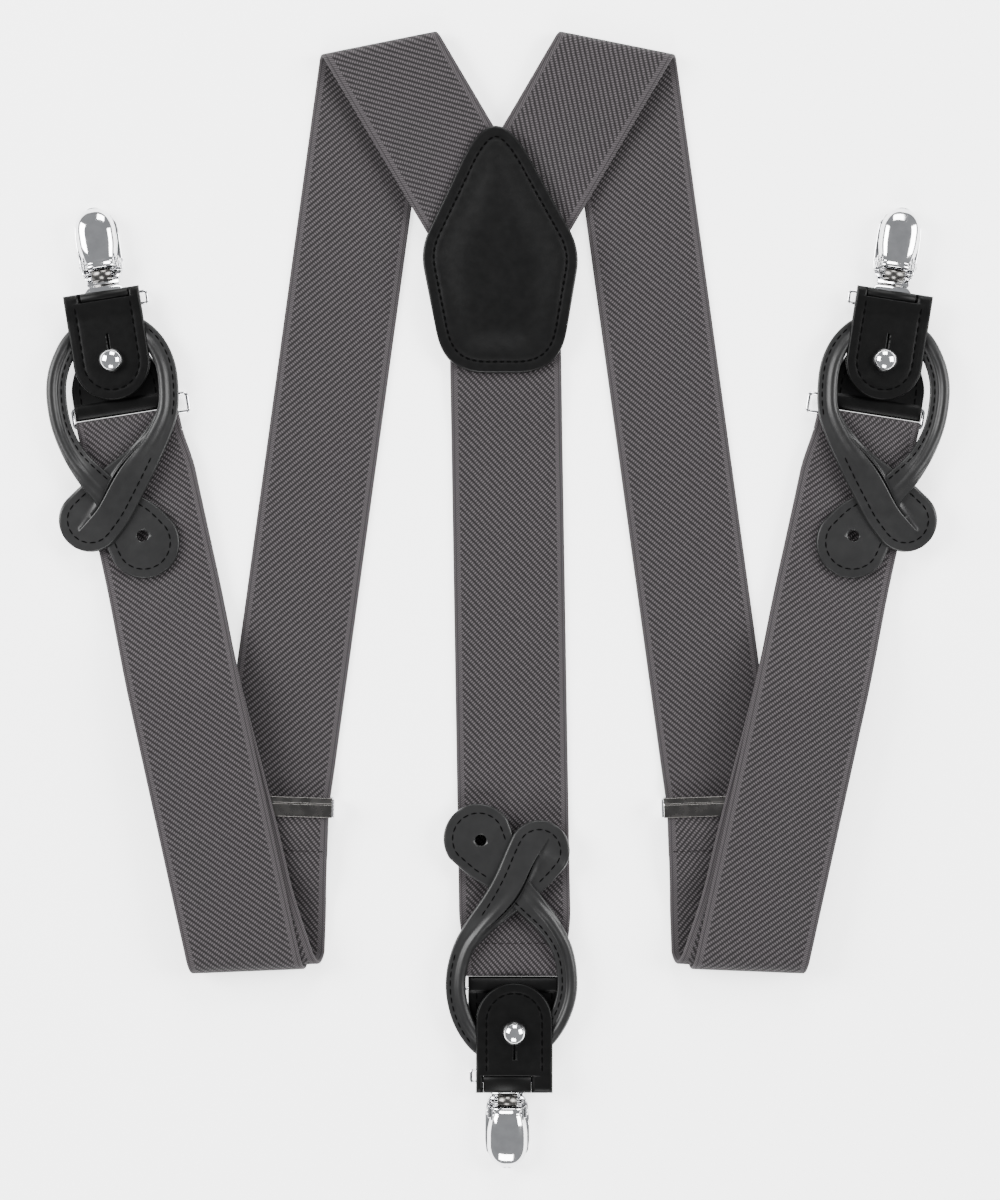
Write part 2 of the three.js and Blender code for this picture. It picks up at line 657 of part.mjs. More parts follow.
// slack moves the whole tab along the connector, and pull sets how deep the clip's bar sits in its fold.
function clipTab({ tab, clip, slack, pull }) {
  const half = TAB_WIDTH / 2;
  const fold = TAB_FOLD + slack;
  const round = TAB_ROUND_END + slack;
  const barY = BAR_Y + slack - pull;
  const outline = new THREE.Shape();
  outline.moveTo(half, fold);
  outline.lineTo(-half, fold);
  outline.lineTo(-half, round + half);
  outline.absarc(0, round + half, half, Math.PI, 2 * Math.PI, false);
  outline.lineTo(half, fold);
  const eye = BAR_RADIUS + 0.1;
  const wall = eye + LOOP_LEATHER + 0.1;
  const slab = box(-half, half, round - 1, barY, TAB_Z.low, TAB_Z.high);
  const bends = [barY, BAR_Y + slack].map((y) => rodX(wall, -half, half, y, BAR_Z, 24));
  const sides = box(-half, half, barY - 0.01, BAR_Y + slack, BAR_Z - wall, BAR_Z + wall);
  const tunnel = rodX(eye, -half - 1, half + 1, barY, BAR_Z, 20);
  const post = studHole(BAR_Z);
  const keySlit = box(-0.3, 0.3, STUD_Y, STUD_Y + 8.4, TAB_Z.low - 1, TAB_Z.high + 1);
  const middleX = clip - tab;
  const notch = box(middleX - NECK_NOTCH / 2, middleX + NECK_NOTCH / 2, barY - 1.4, fold + 1, 0, 12);
  const body = cut(join(slab, ...bends, sides), tunnel, post, keySlit, notch);
  return common(body, prism(outline, 0, 12)).translate(tab, 0, 0);
}

function stud(x) {
  const ball = STUD_BALL / 2;
  const domeZ = TAB_Z.high + 0.6;
  const profile = [
    new THREE.Vector2(0, 0.95),
    new THREE.Vector2(STUD_POST / 2, 0.95),
    new THREE.Vector2(STUD_POST / 2, TAB_Z.high + 0.2),
    new THREE.Vector2(ball * 0.9, TAB_Z.high + 0.2),
    ...arcPoints(0, 0, ball, 8, 90, 8).map((p) => new THREE.Vector2(p.x, domeZ + p.y * 0.8)),
  ];
  profile[profile.length - 1].x = 0;
  return new THREE.LatheGeometry(profile, 24).rotateX(90 * DEG).translate(x, STUD_Y, 0);
}

function studBase(x) {
  const disc = new THREE.CylinderGeometry(4, 4, 0.6, 24).rotateX(90 * DEG);
  return disc.translate(x, STUD_Y, 0.4);
}

// The button loop is one strip. It hooks round the tab ring, its arms bow out and cross, and each
// arm ends in an ear.
// Routes are in the end's frame, and lie a little differently on each end, because the leather is soft.
const FRONT_LOOP = {
  leftArm: [[-17.2, 20.2], [-21.2, 10], [-21.6, 0], [-18.6, -10]],
  rightArm: [[12.4, 19], [13.9, 9], [12.2, 0], [7, -9]],
  cross: [-7.4, -19],
  slitEar: [-17.6, -32.4],
  holeEar: [-2, -41.6],
};
const BACK_LOOP = {
  leftArm: [[-12.4, 16], [-15.8, 6], [-15.9, -4], [-12.6, -15]],
  rightArm: [[14.8, 17.5], [18.6, 6], [18.2, -5], [12, -16]],
  cross: [1.5, -26.5],
  slitEar: [-7.2, -40.4],
  holeEar: [11.9, -44.8],
};

function strip(points, width, z0, z1, steps) {
  const curve = new THREE.SplineCurve(points);
  const rows = curve.getSpacedPoints(steps).map((p, i) => {
    const t = curve.getTangentAt(i / steps);
    const n = new THREE.Vector2(-t.y, t.x).multiplyScalar(width / 2);
    const section = [[-1, z0], [1, z0], [1, z1], [-1, z1]];
    return section.map(([s, z]) => new THREE.Vector3(p.x + n.x * s, p.y + n.y * s, z));
  });
  return loftLoops(rows);
}

function ear(from, to, radius, z0, z1) {
  const axis = to.clone().sub(from);
  const length = axis.length();
  const shape = new THREE.Shape();
  const neck = 3.4;
  shape.moveTo(0, neck);
  shape.lineTo(0, -neck);
  shape.bezierCurveTo(length * 0.45, -neck, length * 0.45, -radius, length, -radius);
  shape.absarc(length, 0, radius, -Math.PI / 2, Math.PI / 2, false);
  shape.bezierCurveTo(length * 0.45, radius, length * 0.45, neck, 0, neck);
  const geometry = prism(shape, z0, z1);
  return geometry.rotateZ(Math.atan2(axis.y, axis.x)).translate(from.x, from.y, 0);
}

function buttonLoop(route, tab, ringY) {
  const wireAt = ringY + tabWireY;
  const wrap = TAB_RING_WIRE / 2 + WIRE_CLEARANCE + LOOP_LEATHER / 2;
  const plateZ = (LOOP_PLATE_Z.low + LOOP_PLATE_Z.high) / 2;
  const path = [
    new THREE.Vector2(ringY - 6.7, plateZ),
    new THREE.Vector2(ringY - 2.2, plateZ),
    new THREE.Vector2(ringY - 0.4, plateZ - 0.25),
    ...arcPoints(wireAt, WIRE_Z, wrap, 105, -150, 12),
  ];
  const hook = sideProfile(thickPath(path, LOOP_LEATHER), tab - 5, tab + 5);
  const at = ([x, y]) => new THREE.Vector2(x, y);
  const cross = at(route.cross);
  const arms = [route.leftArm, route.rightArm].map((arm, i) => {
    const start = new THREE.Vector2(tab + (i === 0 ? -3 : 3), ringY - 6.5);
    return strip([start, ...arm.map(at), cross], ARM_WIDTH, ARM_Z.low, ARM_Z.high, 18);
  });
  const earLow = ARM_Z.low;
  const slitEar = ear(cross, at(route.slitEar), 10.1, earLow + EAR_THICK - 0.2, earLow + 2 * EAR_THICK - 0.2);
  const holeEar = ear(cross, at(route.holeEar), 10.8, earLow, earLow + EAR_THICK);
  const hole = new THREE.CylinderGeometry(BUTTONHOLE / 2, BUTTONHOLE / 2, 10, 20).rotateX(90 * DEG);
  hole.translate(route.holeEar[0], route.holeEar[1] + 2, earLow);
  const side = TAB_WIDTH / 2 + 0.25;
  const tabSpace = box(tab - side, tab + side, TAB_ROUND_END - 4, TAB_FOLD, LOOP_PLATE_Z.high - 0.05, 12);
  const under = box(tab - 40, tab + 40, -16, TAB_FOLD, -1, LOOP_PLATE_Z.low);
  const body = cut(join(...arms, slitEar, cut(holeEar, hole)), tabSpace);
  return fromSolid(solid(cut(body, under)).add(solid(hook)).simplify(0.02));
}

// ---- Clip ----
function clipOutline(half, neck, y0) {
  const shape = new THREE.Shape();
  shape.moveTo(-neck, y0);
  shape.lineTo(neck, y0);
  shape.lineTo(neck * 0.75, PIN_Y - 5.6);
  shape.lineTo(half, PIN_Y - 2.6);
  shape.lineTo(half, CLIP_TIP - 7.5);
  shape.quadraticCurveTo(half, CLIP_TIP, 0, CLIP_TIP);
  shape.quadraticCurveTo(-half, CLIP_TIP, -half, CLIP_TIP - 7.5);
  shape.lineTo(-half, PIN_Y - 2.6);
  shape.lineTo(-neck * 0.75, PIN_Y - 5.6);
  return shape;
}

function clipBase(x) {
  const lowZ = 1.6;
  const spine = [
    new THREE.Vector2(BAR_Y, BAR_Z),
    new THREE.Vector2(BAR_Y + 2.4, BAR_Z - 0.2),
    new THREE.Vector2(PIN_Y - 6, BAR_Z - 1.6),
    new THREE.Vector2(PIN_Y - 2.2, lowZ + 0.5),
    new THREE.Vector2(PIN_Y + 1, lowZ),
    new THREE.Vector2(CLIP_TIP - 5, lowZ),
    new THREE.Vector2(CLIP_TIP - 2, lowZ + 0.1),
    new THREE.Vector2(CLIP_TIP - 0.4, lowZ + 0.45),
  ];
  const sheet = sideProfile(thickPath(spine, SHEET + 0.2), -BASE_HALF_WIDTH, BASE_HALF_WIDTH);
  const trimmed = common(sheet, prism(clipOutline(BASE_HALF_WIDTH, 7, BAR_Y - 1), -2, 12));
  const bar = rodX(BAR_RADIUS, -BAR_REACH, BAR_REACH, BAR_Y, BAR_Z);
  const hole = rodX(PIN_RADIUS + PIN_CLEARANCE, -10, 10, PIN_Y, PIN_Z);
  const cheeks = [-1, 1].map((s) => {
    const outer = s * EAR_OUTER;
    const inner = s * (EAR_OUTER - SHEET);
    return box(Math.min(outer, inner), Math.max(outer, inner), PIN_Y - 1.9, PIN_Y + 1.9, lowZ, PIN_Z + 1.3);
  });
  return cut(join(trimmed, bar, ...cheeks), hole).translate(x, 0, 0);
}

function clipJaw(x) {
  const seam = 2.7;
  const start = PIN_Y - 1.4;
  const dome = (grow) => {
    const rows = range(0, 1, 10).map((t) => {
      const y = start - grow + t * (CLIP_TIP - 0.4 - start + grow * 0.2);
      const bulge = Math.sqrt(Math.max(0, 1 - Math.pow(Math.max(0, (t - 0.52) / 0.48), 2)));
      const wide = (5.0 + 1.4 * smooth(t / 0.45)) * Math.max(bulge, 0.12) + grow;
      const high = (4.3 + 0.8 * smooth(t / 0.3)) * Math.max(bulge, 0.2) + grow;
      return range(0, 180, 10).map((a) => {
        const c = Math.cos(a * DEG);
        const s = Math.sin(a * DEG);
        const x = wide * Math.sign(c) * Math.pow(Math.abs(c), 0.7);
        return new THREE.Vector3(x, y, seam + high * Math.pow(s, 0.7));
      });
    });
    return rows;
  };
  const floorOf = (row) => row.map((p) => new THREE.Vector3(p.x, p.y, seam - 0.001)).reverse();
  const shellRows = (rows) => rows.map((row) => [...row, ...floorOf(row)]);
  const outer = loftLoops(shellRows(dome(0)));
  const inner = loftLoops(shellRows(dome(-SHEET)));
  const open = inner.translate(0, -SHEET * 1.2, -0.01);
  const lugs = [-1, 1].map((s) => {
    const outerX = s * (EAR_OUTER - SHEET - 0.2);
    const innerX = s * (EAR_OUTER - 2 * SHEET - 0.2);
    const [x0, x1] = [Math.min(outerX, innerX), Math.max(outerX, innerX)];
    return box(x0, x1, PIN_Y - 1.3, PIN_Y + 2.6, PIN_Z - 1.4, PIN_Z + 1.6);
  });
  const notches = [-1, 1].map((s) => {
    const a = s * (EAR_OUTER - SHEET - 0.2);
    return box(Math.min(a, s * 12), Math.max(a, s * 12), PIN_Y - 3, PIN_Y + 2.6, 0, PIN_Z + 2.4);
  });
  const hole = rodX(PIN_RADIUS + PIN_CLEARANCE, -10, 10, PIN_Y, PIN_Z);
  return cut(join(cut(outer, open), ...lugs), ...notches, hole).translate(x, 0, 0);
}

function clipPin(x) {
  const head = 0.5;
  const reach = EAR_OUTER + 0.15;
  const shaft = rodX(PIN_RADIUS, -reach - 0.2, reach + 0.2, PIN_Y, PIN_Z);
  const heads = [-1, 1].map((s) => {
    const [x0, x1] = s > 0 ? [reach, reach + head] : [-reach - head, -reach];
    return rodX(PIN_RADIUS + 0.45, x0, x1, PIN_Y, PIN_Z);
  });
  return join(shaft, ...heads).translate(x, 0, 0);
}

function clipSpring(x) {
  const leaf = [
    new THREE.Vector2(PIN_Y - 5.4, BAR_Z - 0.9),
    new THREE.Vector2(PIN_Y - 4.6, BAR_Z + 0.1),
    new THREE.Vector2(PIN_Y - 3.4, BAR_Z + 0.6),
    new THREE.Vector2(PIN_Y - 2.0, BAR_Z + 0.35),
    new THREE.Vector2(PIN_Y - 1.75, BAR_Z - 0.7),
  ];
  return sideProfile(thickPath(leaf, 0.4), -3, 3).translate(x, 0, 0);
}

// ---- Assembly ----
const suspenders = new THREE.Group();

function add(name, geometry, surface, transform = new THREE.Matrix4()) {
  const bare = geometry.index ? geometry : mergeVertices(geometry);
  bare.deleteAttribute("uv");
  bare.deleteAttribute("normal");
  bare.applyMatrix4(transform);
  const facing = transform.determinant() < 0 ? flipped(bare) : bare;
  facing.computeVertexNormals();
  const mesh = new THREE.Mesh(facing, surface);
  mesh.name = name;
  suspenders.add(mesh);
}

const mirror = new THREE.Matrix4().makeScale(-1, 1, 1);
const frameAt = (point, degrees) => {
  const turn = new THREE.Matrix4().makeRotationZ(degrees * DEG);
  return turn.setPosition(point.x, point.y, 0);
};

// How the pieces of an end lie: tab and clip are sideways, and nearer moves the tab ring to the webbing ring.
const leftEnd = frameAt(RING_POINT, END_TILT);
const frontLayout = { tab: -3.0, route: FRONT_LOOP, clip: -2.0, slack: 0, pull: 0, nearer: 0 };
const backLayout = { tab: 0.5, route: BACK_LOOP, clip: 2.7, slack: -3.1, pull: 2.5, nearer: 4.3 };
const ends = [
  { side: "left", transform: leftEnd, layout: frontLayout },
  { side: "right", transform: mirror.clone().multiply(leftEnd), layout: frontLayout },
  { side: "back", transform: frameAt(BACK_RING_POINT, 180), layout: backLayout },
];

for (const { side, transform, layout } of ends) {
  const { tab, route, clip, slack, pull, nearer } = layout;
  const ringY = TAB_RING_Y - nearer;
  const put = (name, geometry, surface) => add(`${side}_${name}`, geometry, surface, transform);
  put("webbing_ring", wireRing(RING_LENGTH, RING_HEIGHT, RING_WIRE, 0, 0), chrome);
  put("connector", connector(tab, ringY), leather);
  put("tab_ring", wireRing(TAB_RING_LENGTH, TAB_RING_HEIGHT, TAB_RING_WIRE, tab + 1.6, ringY), chrome);
  put("clip_tab", clipTab(layout), leather);
  put("stud", stud(tab), chrome);
  put("stud_base", studBase(tab), nickel);
  put("button_loop", buttonLoop(route, tab, ringY), softLeather);
  put("clip_base", clipBase(clip).translate(0, slack - pull, 0), chrome);
  put("clip_jaw", clipJaw(clip).translate(0, slack - pull, 0), chrome);
  put("clip_pin", clipPin(clip).translate(0, slack - pull, 0), chrome);
  put("clip_spring", clipSpring(clip).translate(0, slack - pull, 0), nickel);
}

const slideAt = middle(uSlide);
const slideFrame = frameAt(slideAt, SLIDE_TILT);
for (const [side, flip] of [["left", new THREE.Matrix4()], ["right", mirror]]) {
  add(`${side}_front_strap`, frontStrap(LAYER_Z[side]), webbing, flip);
  add(`${side}_return_strap`, returnStrap(), webbing, flip);
  add(`${side}_adjuster`, adjuster(), nickel, flip.clone().multiply(slideFrame));
}
add("back_strap", backStrap(), webbing);
add("patch_front", patchFront(), leather);
add("patch_back", patchBack(), leather);

export default suspenders;
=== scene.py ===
"""Suspenders laid flat: the visual model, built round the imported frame.

Sizes are in millimetres until a mesh is made, and the frame's axes are kept: +Z is up from the table.
"""
import logging
import math
from bisect import bisect_right
from dataclasses import dataclass, field, replace
from enum import Enum
from typing import Callable, Iterable, Sequence

import bmesh
import bpy
from mathutils import Matrix, Vector


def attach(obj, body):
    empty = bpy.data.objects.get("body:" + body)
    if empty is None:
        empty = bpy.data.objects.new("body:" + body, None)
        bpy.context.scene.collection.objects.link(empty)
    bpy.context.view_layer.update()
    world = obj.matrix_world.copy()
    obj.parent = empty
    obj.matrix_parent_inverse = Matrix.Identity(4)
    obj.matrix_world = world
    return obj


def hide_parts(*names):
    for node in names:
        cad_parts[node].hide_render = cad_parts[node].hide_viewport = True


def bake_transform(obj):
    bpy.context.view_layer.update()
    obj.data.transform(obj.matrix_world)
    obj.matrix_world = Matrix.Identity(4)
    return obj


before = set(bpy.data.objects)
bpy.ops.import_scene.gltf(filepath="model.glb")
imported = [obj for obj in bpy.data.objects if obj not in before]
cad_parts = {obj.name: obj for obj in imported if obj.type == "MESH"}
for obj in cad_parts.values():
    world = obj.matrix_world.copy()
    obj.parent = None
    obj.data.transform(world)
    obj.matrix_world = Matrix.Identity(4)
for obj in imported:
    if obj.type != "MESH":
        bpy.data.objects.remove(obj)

LOG = logging.getLogger("suspenders")
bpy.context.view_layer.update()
MM = 0.001
Point = tuple[float, float, float]
Flat = tuple[float, float]
SlabPoint = tuple[float, float, float, float]  # x, y and the heights of the upper and the lower face
Height = Callable[[float, float, float], float]  # a height, from x, y and the distance from the rim


# ---------------------------------------------------------------------------------------------
# Small maths
# ---------------------------------------------------------------------------------------------
def smooth(x: float) -> float:
    """Ease from 0 to 1 as x goes from 0 to 1."""
    x = min(max(x, 0.0), 1.0)
    return x * x * (3 - 2 * x)


def spread(start: float, end: float, steps: int) -> list[float]:
    """Even values from start to end, both included."""
    return [start + (end - start) * i / steps for i in range(steps + 1)]


def unit(degrees: float) -> Vector:
    """The flat direction at an angle from +X."""
    return Vector((math.cos(math.radians(degrees)), math.sin(math.radians(degrees))))


def catmull(values: Sequence[Sequence[float]], t: float) -> list[float]:
    """A Catmull-Rom curve's value through a list of stations.

    Args:
        values: the stations, each a list of numbers.
        t: the place along them, from 0 to 1.

    Returns:
        The interpolated numbers.
    """
    last = len(values) - 1
    place = min(max(t, 0.0), 1.0) * last
    i = min(int(place), last - 1)
    f = place - i
    p0, p1 = values[max(i - 1, 0)], values[i]
    p2, p3 = values[i + 1], values[min(i + 2, last)]
    out = []
    for a, b, c, d in zip(p0, p1, p2, p3):
        out.append(0.5 * (2 * b + (c - a) * f + (2 * a - 5 * b + 4 * c - d) * f * f
                          + (3 * b - a - 3 * c + d) * f ** 3))
    return out


# ---------------------------------------------------------------------------------------------
# Finishes
# ---------------------------------------------------------------------------------------------
class NodeKit:
    """Shorthand for building one material's nodes."""

    def __init__(self, name: str) -> None:
        """Start an empty material with a Principled surface."""
        self.material = bpy.data.materials.new(name)
        self.material.use_nodes = True
        self.tree = self.material.node_tree
        self.tree.nodes.clear()
        self.surface = self.tree.nodes.new("ShaderNodeBsdfPrincipled")
        output = self.tree.nodes.new("ShaderNodeOutputMaterial")
        self.tree.links.new(self.surface.outputs[0], output.inputs[0])

    def add(self, kind: str, **settings: object) -> bpy.types.Node:
        """Add a node and set its properties."""
        node = self.tree.nodes.new(kind)
        for key, value in settings.items():
            setattr(node, key, value)
        return node

    def link(self, source: object, target: object) -> None:
        """Link an output socket to an input socket."""
        self.tree.links.new(source, target)

    def maths(self, operation: str, first: object, second: object = None) -> object:
        """A Math node on sockets or numbers.

        Args:
            operation: the node's operation.
            first: a socket or a number.
            second: a socket, a number or None.

        Returns:
            The node's output socket.
        """
        node = self.add("ShaderNodeMath", operation=operation)
        for i, value in enumerate((first, second)):
            if value is None:
                continue
            if isinstance(value, (int, float)):
                node.inputs[i].default_value = value
            else:
                self.link(value, node.inputs[i])
        return node.outputs[0]

    def times(self, first: object, second: object) -> object:
        """The product of two sockets or numbers."""
        return self.maths("MULTIPLY", first, second)

    def plus(self, first: object, second: object) -> object:
        """The sum of two sockets or numbers."""
        return self.maths("ADD", first, second)

    def minus(self, first: object, second: object) -> object:
        """The first socket or number less the second."""
        return self.maths("SUBTRACT", first, second)

    def ridges(self, phase: object) -> object:
        """Rounded ridges, one for each whole number of the phase."""
        return self.maths("ABSOLUTE", self.maths("SINE", self.times(phase, math.pi)))

    def noise(self, place: object, scale: float, detail: float = 2.0) -> object:
        """Soft noise at a place, from 0 to 1."""
        node = self.add("ShaderNodeTexNoise")
        node.inputs["Scale"].default_value = scale
        node.inputs["Detail"].default_value = detail
        self.link(place, node.inputs["Vector"])
        return node.outputs[0]

    def remap(self, value: object, source: Flat, target: Flat) -> object:
        """Stretch a value from one range to another."""
        node = self.add("ShaderNodeMapRange")
        for prefix, (low, high) in (("From", source), ("To", target)):
            node.inputs[prefix + " Min"].default_value = low
            node.inputs[prefix + " Max"].default_value = high
        self.link(value, node.inputs["Value"])
        return node.outputs[0]

    def set(self, **values: float) -> None:
        """Set the surface's plain values, named with underscores for spaces."""
        for name, value in values.items():
            self.surface.inputs[name.replace("_", " ")].default_value = value

    def dress(self, **sockets: object) -> None:
        """Link sockets to the surface's inputs, named with underscores for spaces."""
        for name, socket in sockets.items():
            self.link(socket, self.surface.inputs[name.replace("_", " ")])

    def ramp(self, factor: object, stops: Sequence[tuple[float, Sequence[float]]]) -> object:
        """A colour ramp on a factor."""
        node = self.add("ShaderNodeValToRGB")
        elements = node.color_ramp.elements
        while len(elements) < len(stops):
            elements.new(0.5)
        for element, (place, colour) in zip(elements, stops):
            element.position = place
            element.color = (*colour, 1.0)
        self.link(factor, node.inputs[0])
        return node.outputs[0]

    def bump(self, height: object, strength: float, distance: float, below: object = None) -> object:
        """A Bump node that reads a height."""
        node = self.add("ShaderNodeBump")
        node.inputs["Strength"].default_value = strength
        node.inputs["Distance"].default_value = distance
        self.link(height, node.inputs["Height"])
        if below is not None:
            self.link(below, node.inputs["Normal"])
        return node.outputs[0]


@dataclass(frozen=True)
class Twill:
    """Elastic twill webbing: diagonal cords of short yarn floats between two selvedges.

    The piece's UV map holds metres along and across the webbing.
    """

    name: str = "webbing_twill"
    pitch: float = 1.44 * MM
    slant: float = 47.0
    float_length: float = 0.74 * MM
    half_width: float = 17.5 * MM
    selvedge: float = 2.3 * MM
    groove: float = 0.16 * MM
    wobble: float = 0.35 * MM
    wobble_scale: float = 900.0
    fuzz_scale: float = 4200.0
    stagger: float = 0.1
    beading: float = 0.72
    # The three colours below go by rib height: the dark one for the hollows is painted shade, the light one
    # for the raised yarn a painted highlight.
    valley: tuple[float, float, float] = (0.0026, 0.0022, 0.0024)
    body: tuple[float, float, float] = (0.0215, 0.019, 0.0204)
    crest_highlight: tuple[float, float, float] = (0.074, 0.0665, 0.0705)

    def make(self) -> bpy.types.Material:
        """Build the material."""
        kit = NodeKit(self.name)
        uv = kit.add("ShaderNodeUVMap", uv_map="UVMap").outputs[0]
        split = kit.add("ShaderNodeSeparateXYZ")
        kit.link(uv, split.inputs[0])
        along, across = split.outputs[0], split.outputs[1]
        fuzz = kit.noise(uv, self.fuzz_scale)
        rib = self.ribs(kit, along, across, kit.noise(uv, self.wobble_scale))
        from_edge = kit.minus(self.half_width, kit.maths("ABSOLUTE", across))
        at_edge = kit.maths("LESS_THAN", from_edge, self.selvedge)
        edge = kit.times(self.selvedge_ribs(kit, along, across, from_edge), at_edge)
        height = kit.plus(kit.times(rib, kit.minus(1.0, at_edge)), edge)
        # The colour follows the rib height plus a little random fibre fuzz: painted shade in the hollows and
        # the selvedge groove, painted highlight on the crests.
        relief_shade_and_fuzz = kit.plus(kit.times(height, 0.85), kit.times(fuzz, 0.2))
        colour = kit.ramp(relief_shade_and_fuzz, [(0.12, self.valley), (0.62, self.body), (1.0, self.crest_highlight)])
        normal = kit.bump(height, 0.7, 0.22 * MM, kit.bump(fuzz, 0.25, 0.08 * MM))
        kit.dress(Base_Color=colour, Normal=normal)
        kit.set(Roughness=0.78, Sheen_Weight=0.06, Sheen_Roughness=0.5, Specular_IOR_Level=0.15)
        return kit.material

    def ribs(self, kit: NodeKit, along: object, across: object, noise: object) -> object:
        """The slanted ribs, each beaded with its yarn floats.

        Args:
            kit: the material's node kit.
            along: the place along the webbing.
            across: the place across it.
            noise: the noise that makes the ribs uneven.

        Returns:
            Their height, from 0 to 1.
        """
        cos, sin = math.cos(math.radians(self.slant)), math.sin(math.radians(self.slant))
        cut = kit.plus(kit.times(along, cos), kit.times(across, sin))
        run = kit.minus(kit.times(along, sin), kit.times(across, cos))
        wobble = kit.times(kit.minus(noise, 0.5), self.wobble)
        phase = kit.maths("DIVIDE", kit.plus(cut, wobble), self.pitch)
        step = kit.times(kit.maths("FLOOR", phase), self.stagger)
        beads = kit.ridges(kit.plus(kit.maths("DIVIDE", run, self.float_length), step))
        rib = kit.maths("POWER", kit.ridges(phase), 0.9)
        return kit.times(rib, kit.plus(kit.times(beads, self.beading), 1 - self.beading))

    def selvedge_ribs(self, kit: NodeKit, along: object, across: object, from_edge: object) -> object:
        """The finer ribs of the selvedge, with the groove along its middle.

        Args:
            kit: the material's node kit.
            along: the place along the webbing.
            across: the place across it.
            from_edge: the distance from the webbing's edge.

        Returns:
            Their height, from 0 to 1.
        """
        run = kit.minus(along, kit.times(kit.maths("ABSOLUTE", across), 0.8))
        rib = kit.ridges(kit.maths("DIVIDE", run, self.pitch * 0.5))
        from_groove = kit.maths("ABSOLUTE", kit.minus(from_edge, self.selvedge * 0.42))
        groove = kit.maths("LESS_THAN", from_groove, self.groove)
        return kit.times(kit.plus(kit.times(rib, 0.5), 0.36), kit.minus(1.0, kit.times(groove, 0.35)))


@dataclass(frozen=True)
class Leather:
    """Smooth coated leather with a fine pebble and faint creases."""

    name: str
    dark: tuple[float, float, float]
    light: tuple[float, float, float]
    roughness: float = 0.42
    grain: float = 0.12
    shine: float = 0.2

    def make(self) -> bpy.types.Material:
        """Build the material."""
        kit = NodeKit(self.name)
        place = kit.add("ShaderNodeTexCoord").outputs["Object"]
        pebble = kit.add("ShaderNodeTexVoronoi", feature="SMOOTH_F1")
        pebble.inputs["Scale"].default_value = 1900.0
        kit.link(place, pebble.inputs["Vector"])
        cloud = kit.noise(place, 95.0, 4.0)
        crease = kit.noise(place, 420.0, 6.0)
        rough = kit.remap(crease, (0.3, 0.7), (self.roughness - 0.02, self.roughness + 0.04))
        fine = kit.bump(pebble.outputs["Distance"], self.grain, 0.12 * MM)
        colour = kit.ramp(cloud, [(0.3, self.dark), (0.75, self.light)])
        kit.dress(Base_Color=colour, Roughness=rough, Normal=kit.bump(crease, 0.12, 0.2 * MM, fine))
        kit.set(Specular_IOR_Level=self.shine)
        return kit.material


@dataclass(frozen=True)
class Metal:
    """Plated metal with a faint haze and small variations in polish."""

    name: str
    colour: tuple[float, float, float]
    roughness: float
    haze: float = 0.05

    def make(self) -> bpy.types.Material:
        """Build the material."""
        kit = NodeKit(self.name)
        cloud = kit.noise(kit.add("ShaderNodeTexCoord").outputs["Object"], 260.0, 5.0)
        rough = kit.remap(cloud, (0.35, 0.7), (self.roughness, self.roughness + self.haze))
        darker = tuple(c * 0.9 for c in self.colour)
        kit.dress(Base_Color=kit.ramp(cloud, [(0.35, darker), (0.6, self.colour)]), Roughness=rough)
        kit.set(Metallic=1.0)
        return kit.material


@dataclass(frozen=True)
class Thread:
    """Black sewing thread with a twisted ply."""

    name: str = "sewing_thread"
    colour: tuple[float, float, float] = (0.0003, 0.0003, 0.0003)

    def make(self) -> bpy.types.Material:
        """Build the material."""
        kit = NodeKit(self.name)
        place = kit.add("ShaderNodeTexCoord").outputs["Object"]
        ply = kit.add("ShaderNodeTexWave", bands_direction="DIAGONAL")
        ply.inputs["Scale"].default_value = 2600.0
        kit.link(place, ply.inputs["Vector"])
        # The raised strands are painted lighter along the same bands as the bump: a painted highlight on the
        # ply.
        ply_highlight = tuple(c * 2 for c in self.colour)
        strands = ply.outputs[1]
        colour = kit.ramp(strands, [(0.0, self.colour), (1.0, ply_highlight)])
        kit.dress(Base_Color=colour, Normal=kit.bump(strands, 0.4, 0.05 * MM))
        kit.set(Roughness=0.9, Specular_IOR_Level=0.04)
        return kit.material


class Finish(Enum):
    """The finishes on the object, each with a short name."""

    WEBBING = "webbing"
    PATCH = "patch_leather"
    TAB = "tab_leather"
    LOOP = "loop_leather"
    CHROME = "chrome"
    NICKEL = "nickel"
    THREAD = "thread"
    HEM_THREAD = "hem_thread"


def grey(level: float, tint: float = 0.0) -> tuple[float, float, float]:
    """A grey whose blue is raised a little by a tint."""
    return (level, level, level + tint)


RECIPES = {
    Finish.WEBBING: Twill(),
    Finish.PATCH: Leather("patch_leather", grey(0.0012), grey(0.0015), 0.36, 0.08, 0.2),
    Finish.TAB: Leather("tab_leather", grey(0.0009), grey(0.0015), 0.42, 0.1, 0.11),
    Finish.LOOP: Leather("loop_leather", grey(0.007, 0.0001), grey(0.0105, 0.0001), 0.38, 0.07, 0.26),
    Finish.CHROME: Metal("chrome_plate", grey(0.78, 0.01), 0.06),
    Finish.NICKEL: Metal("dark_nickel", (0.12, 0.115, 0.11), 0.22, 0.12),
    Finish.THREAD: Thread(),
    Finish.HEM_THREAD: Thread("hem_thread", (0.008, 0.007, 0.0075)),
}
MADE: dict[Finish, bpy.types.Material] = {}


def material_for(finish: Finish) -> bpy.types.Material:
    """The finish's material, made once."""
    if finish not in MADE:
        MADE[finish] = RECIPES[finish].make()
    return MADE[finish]


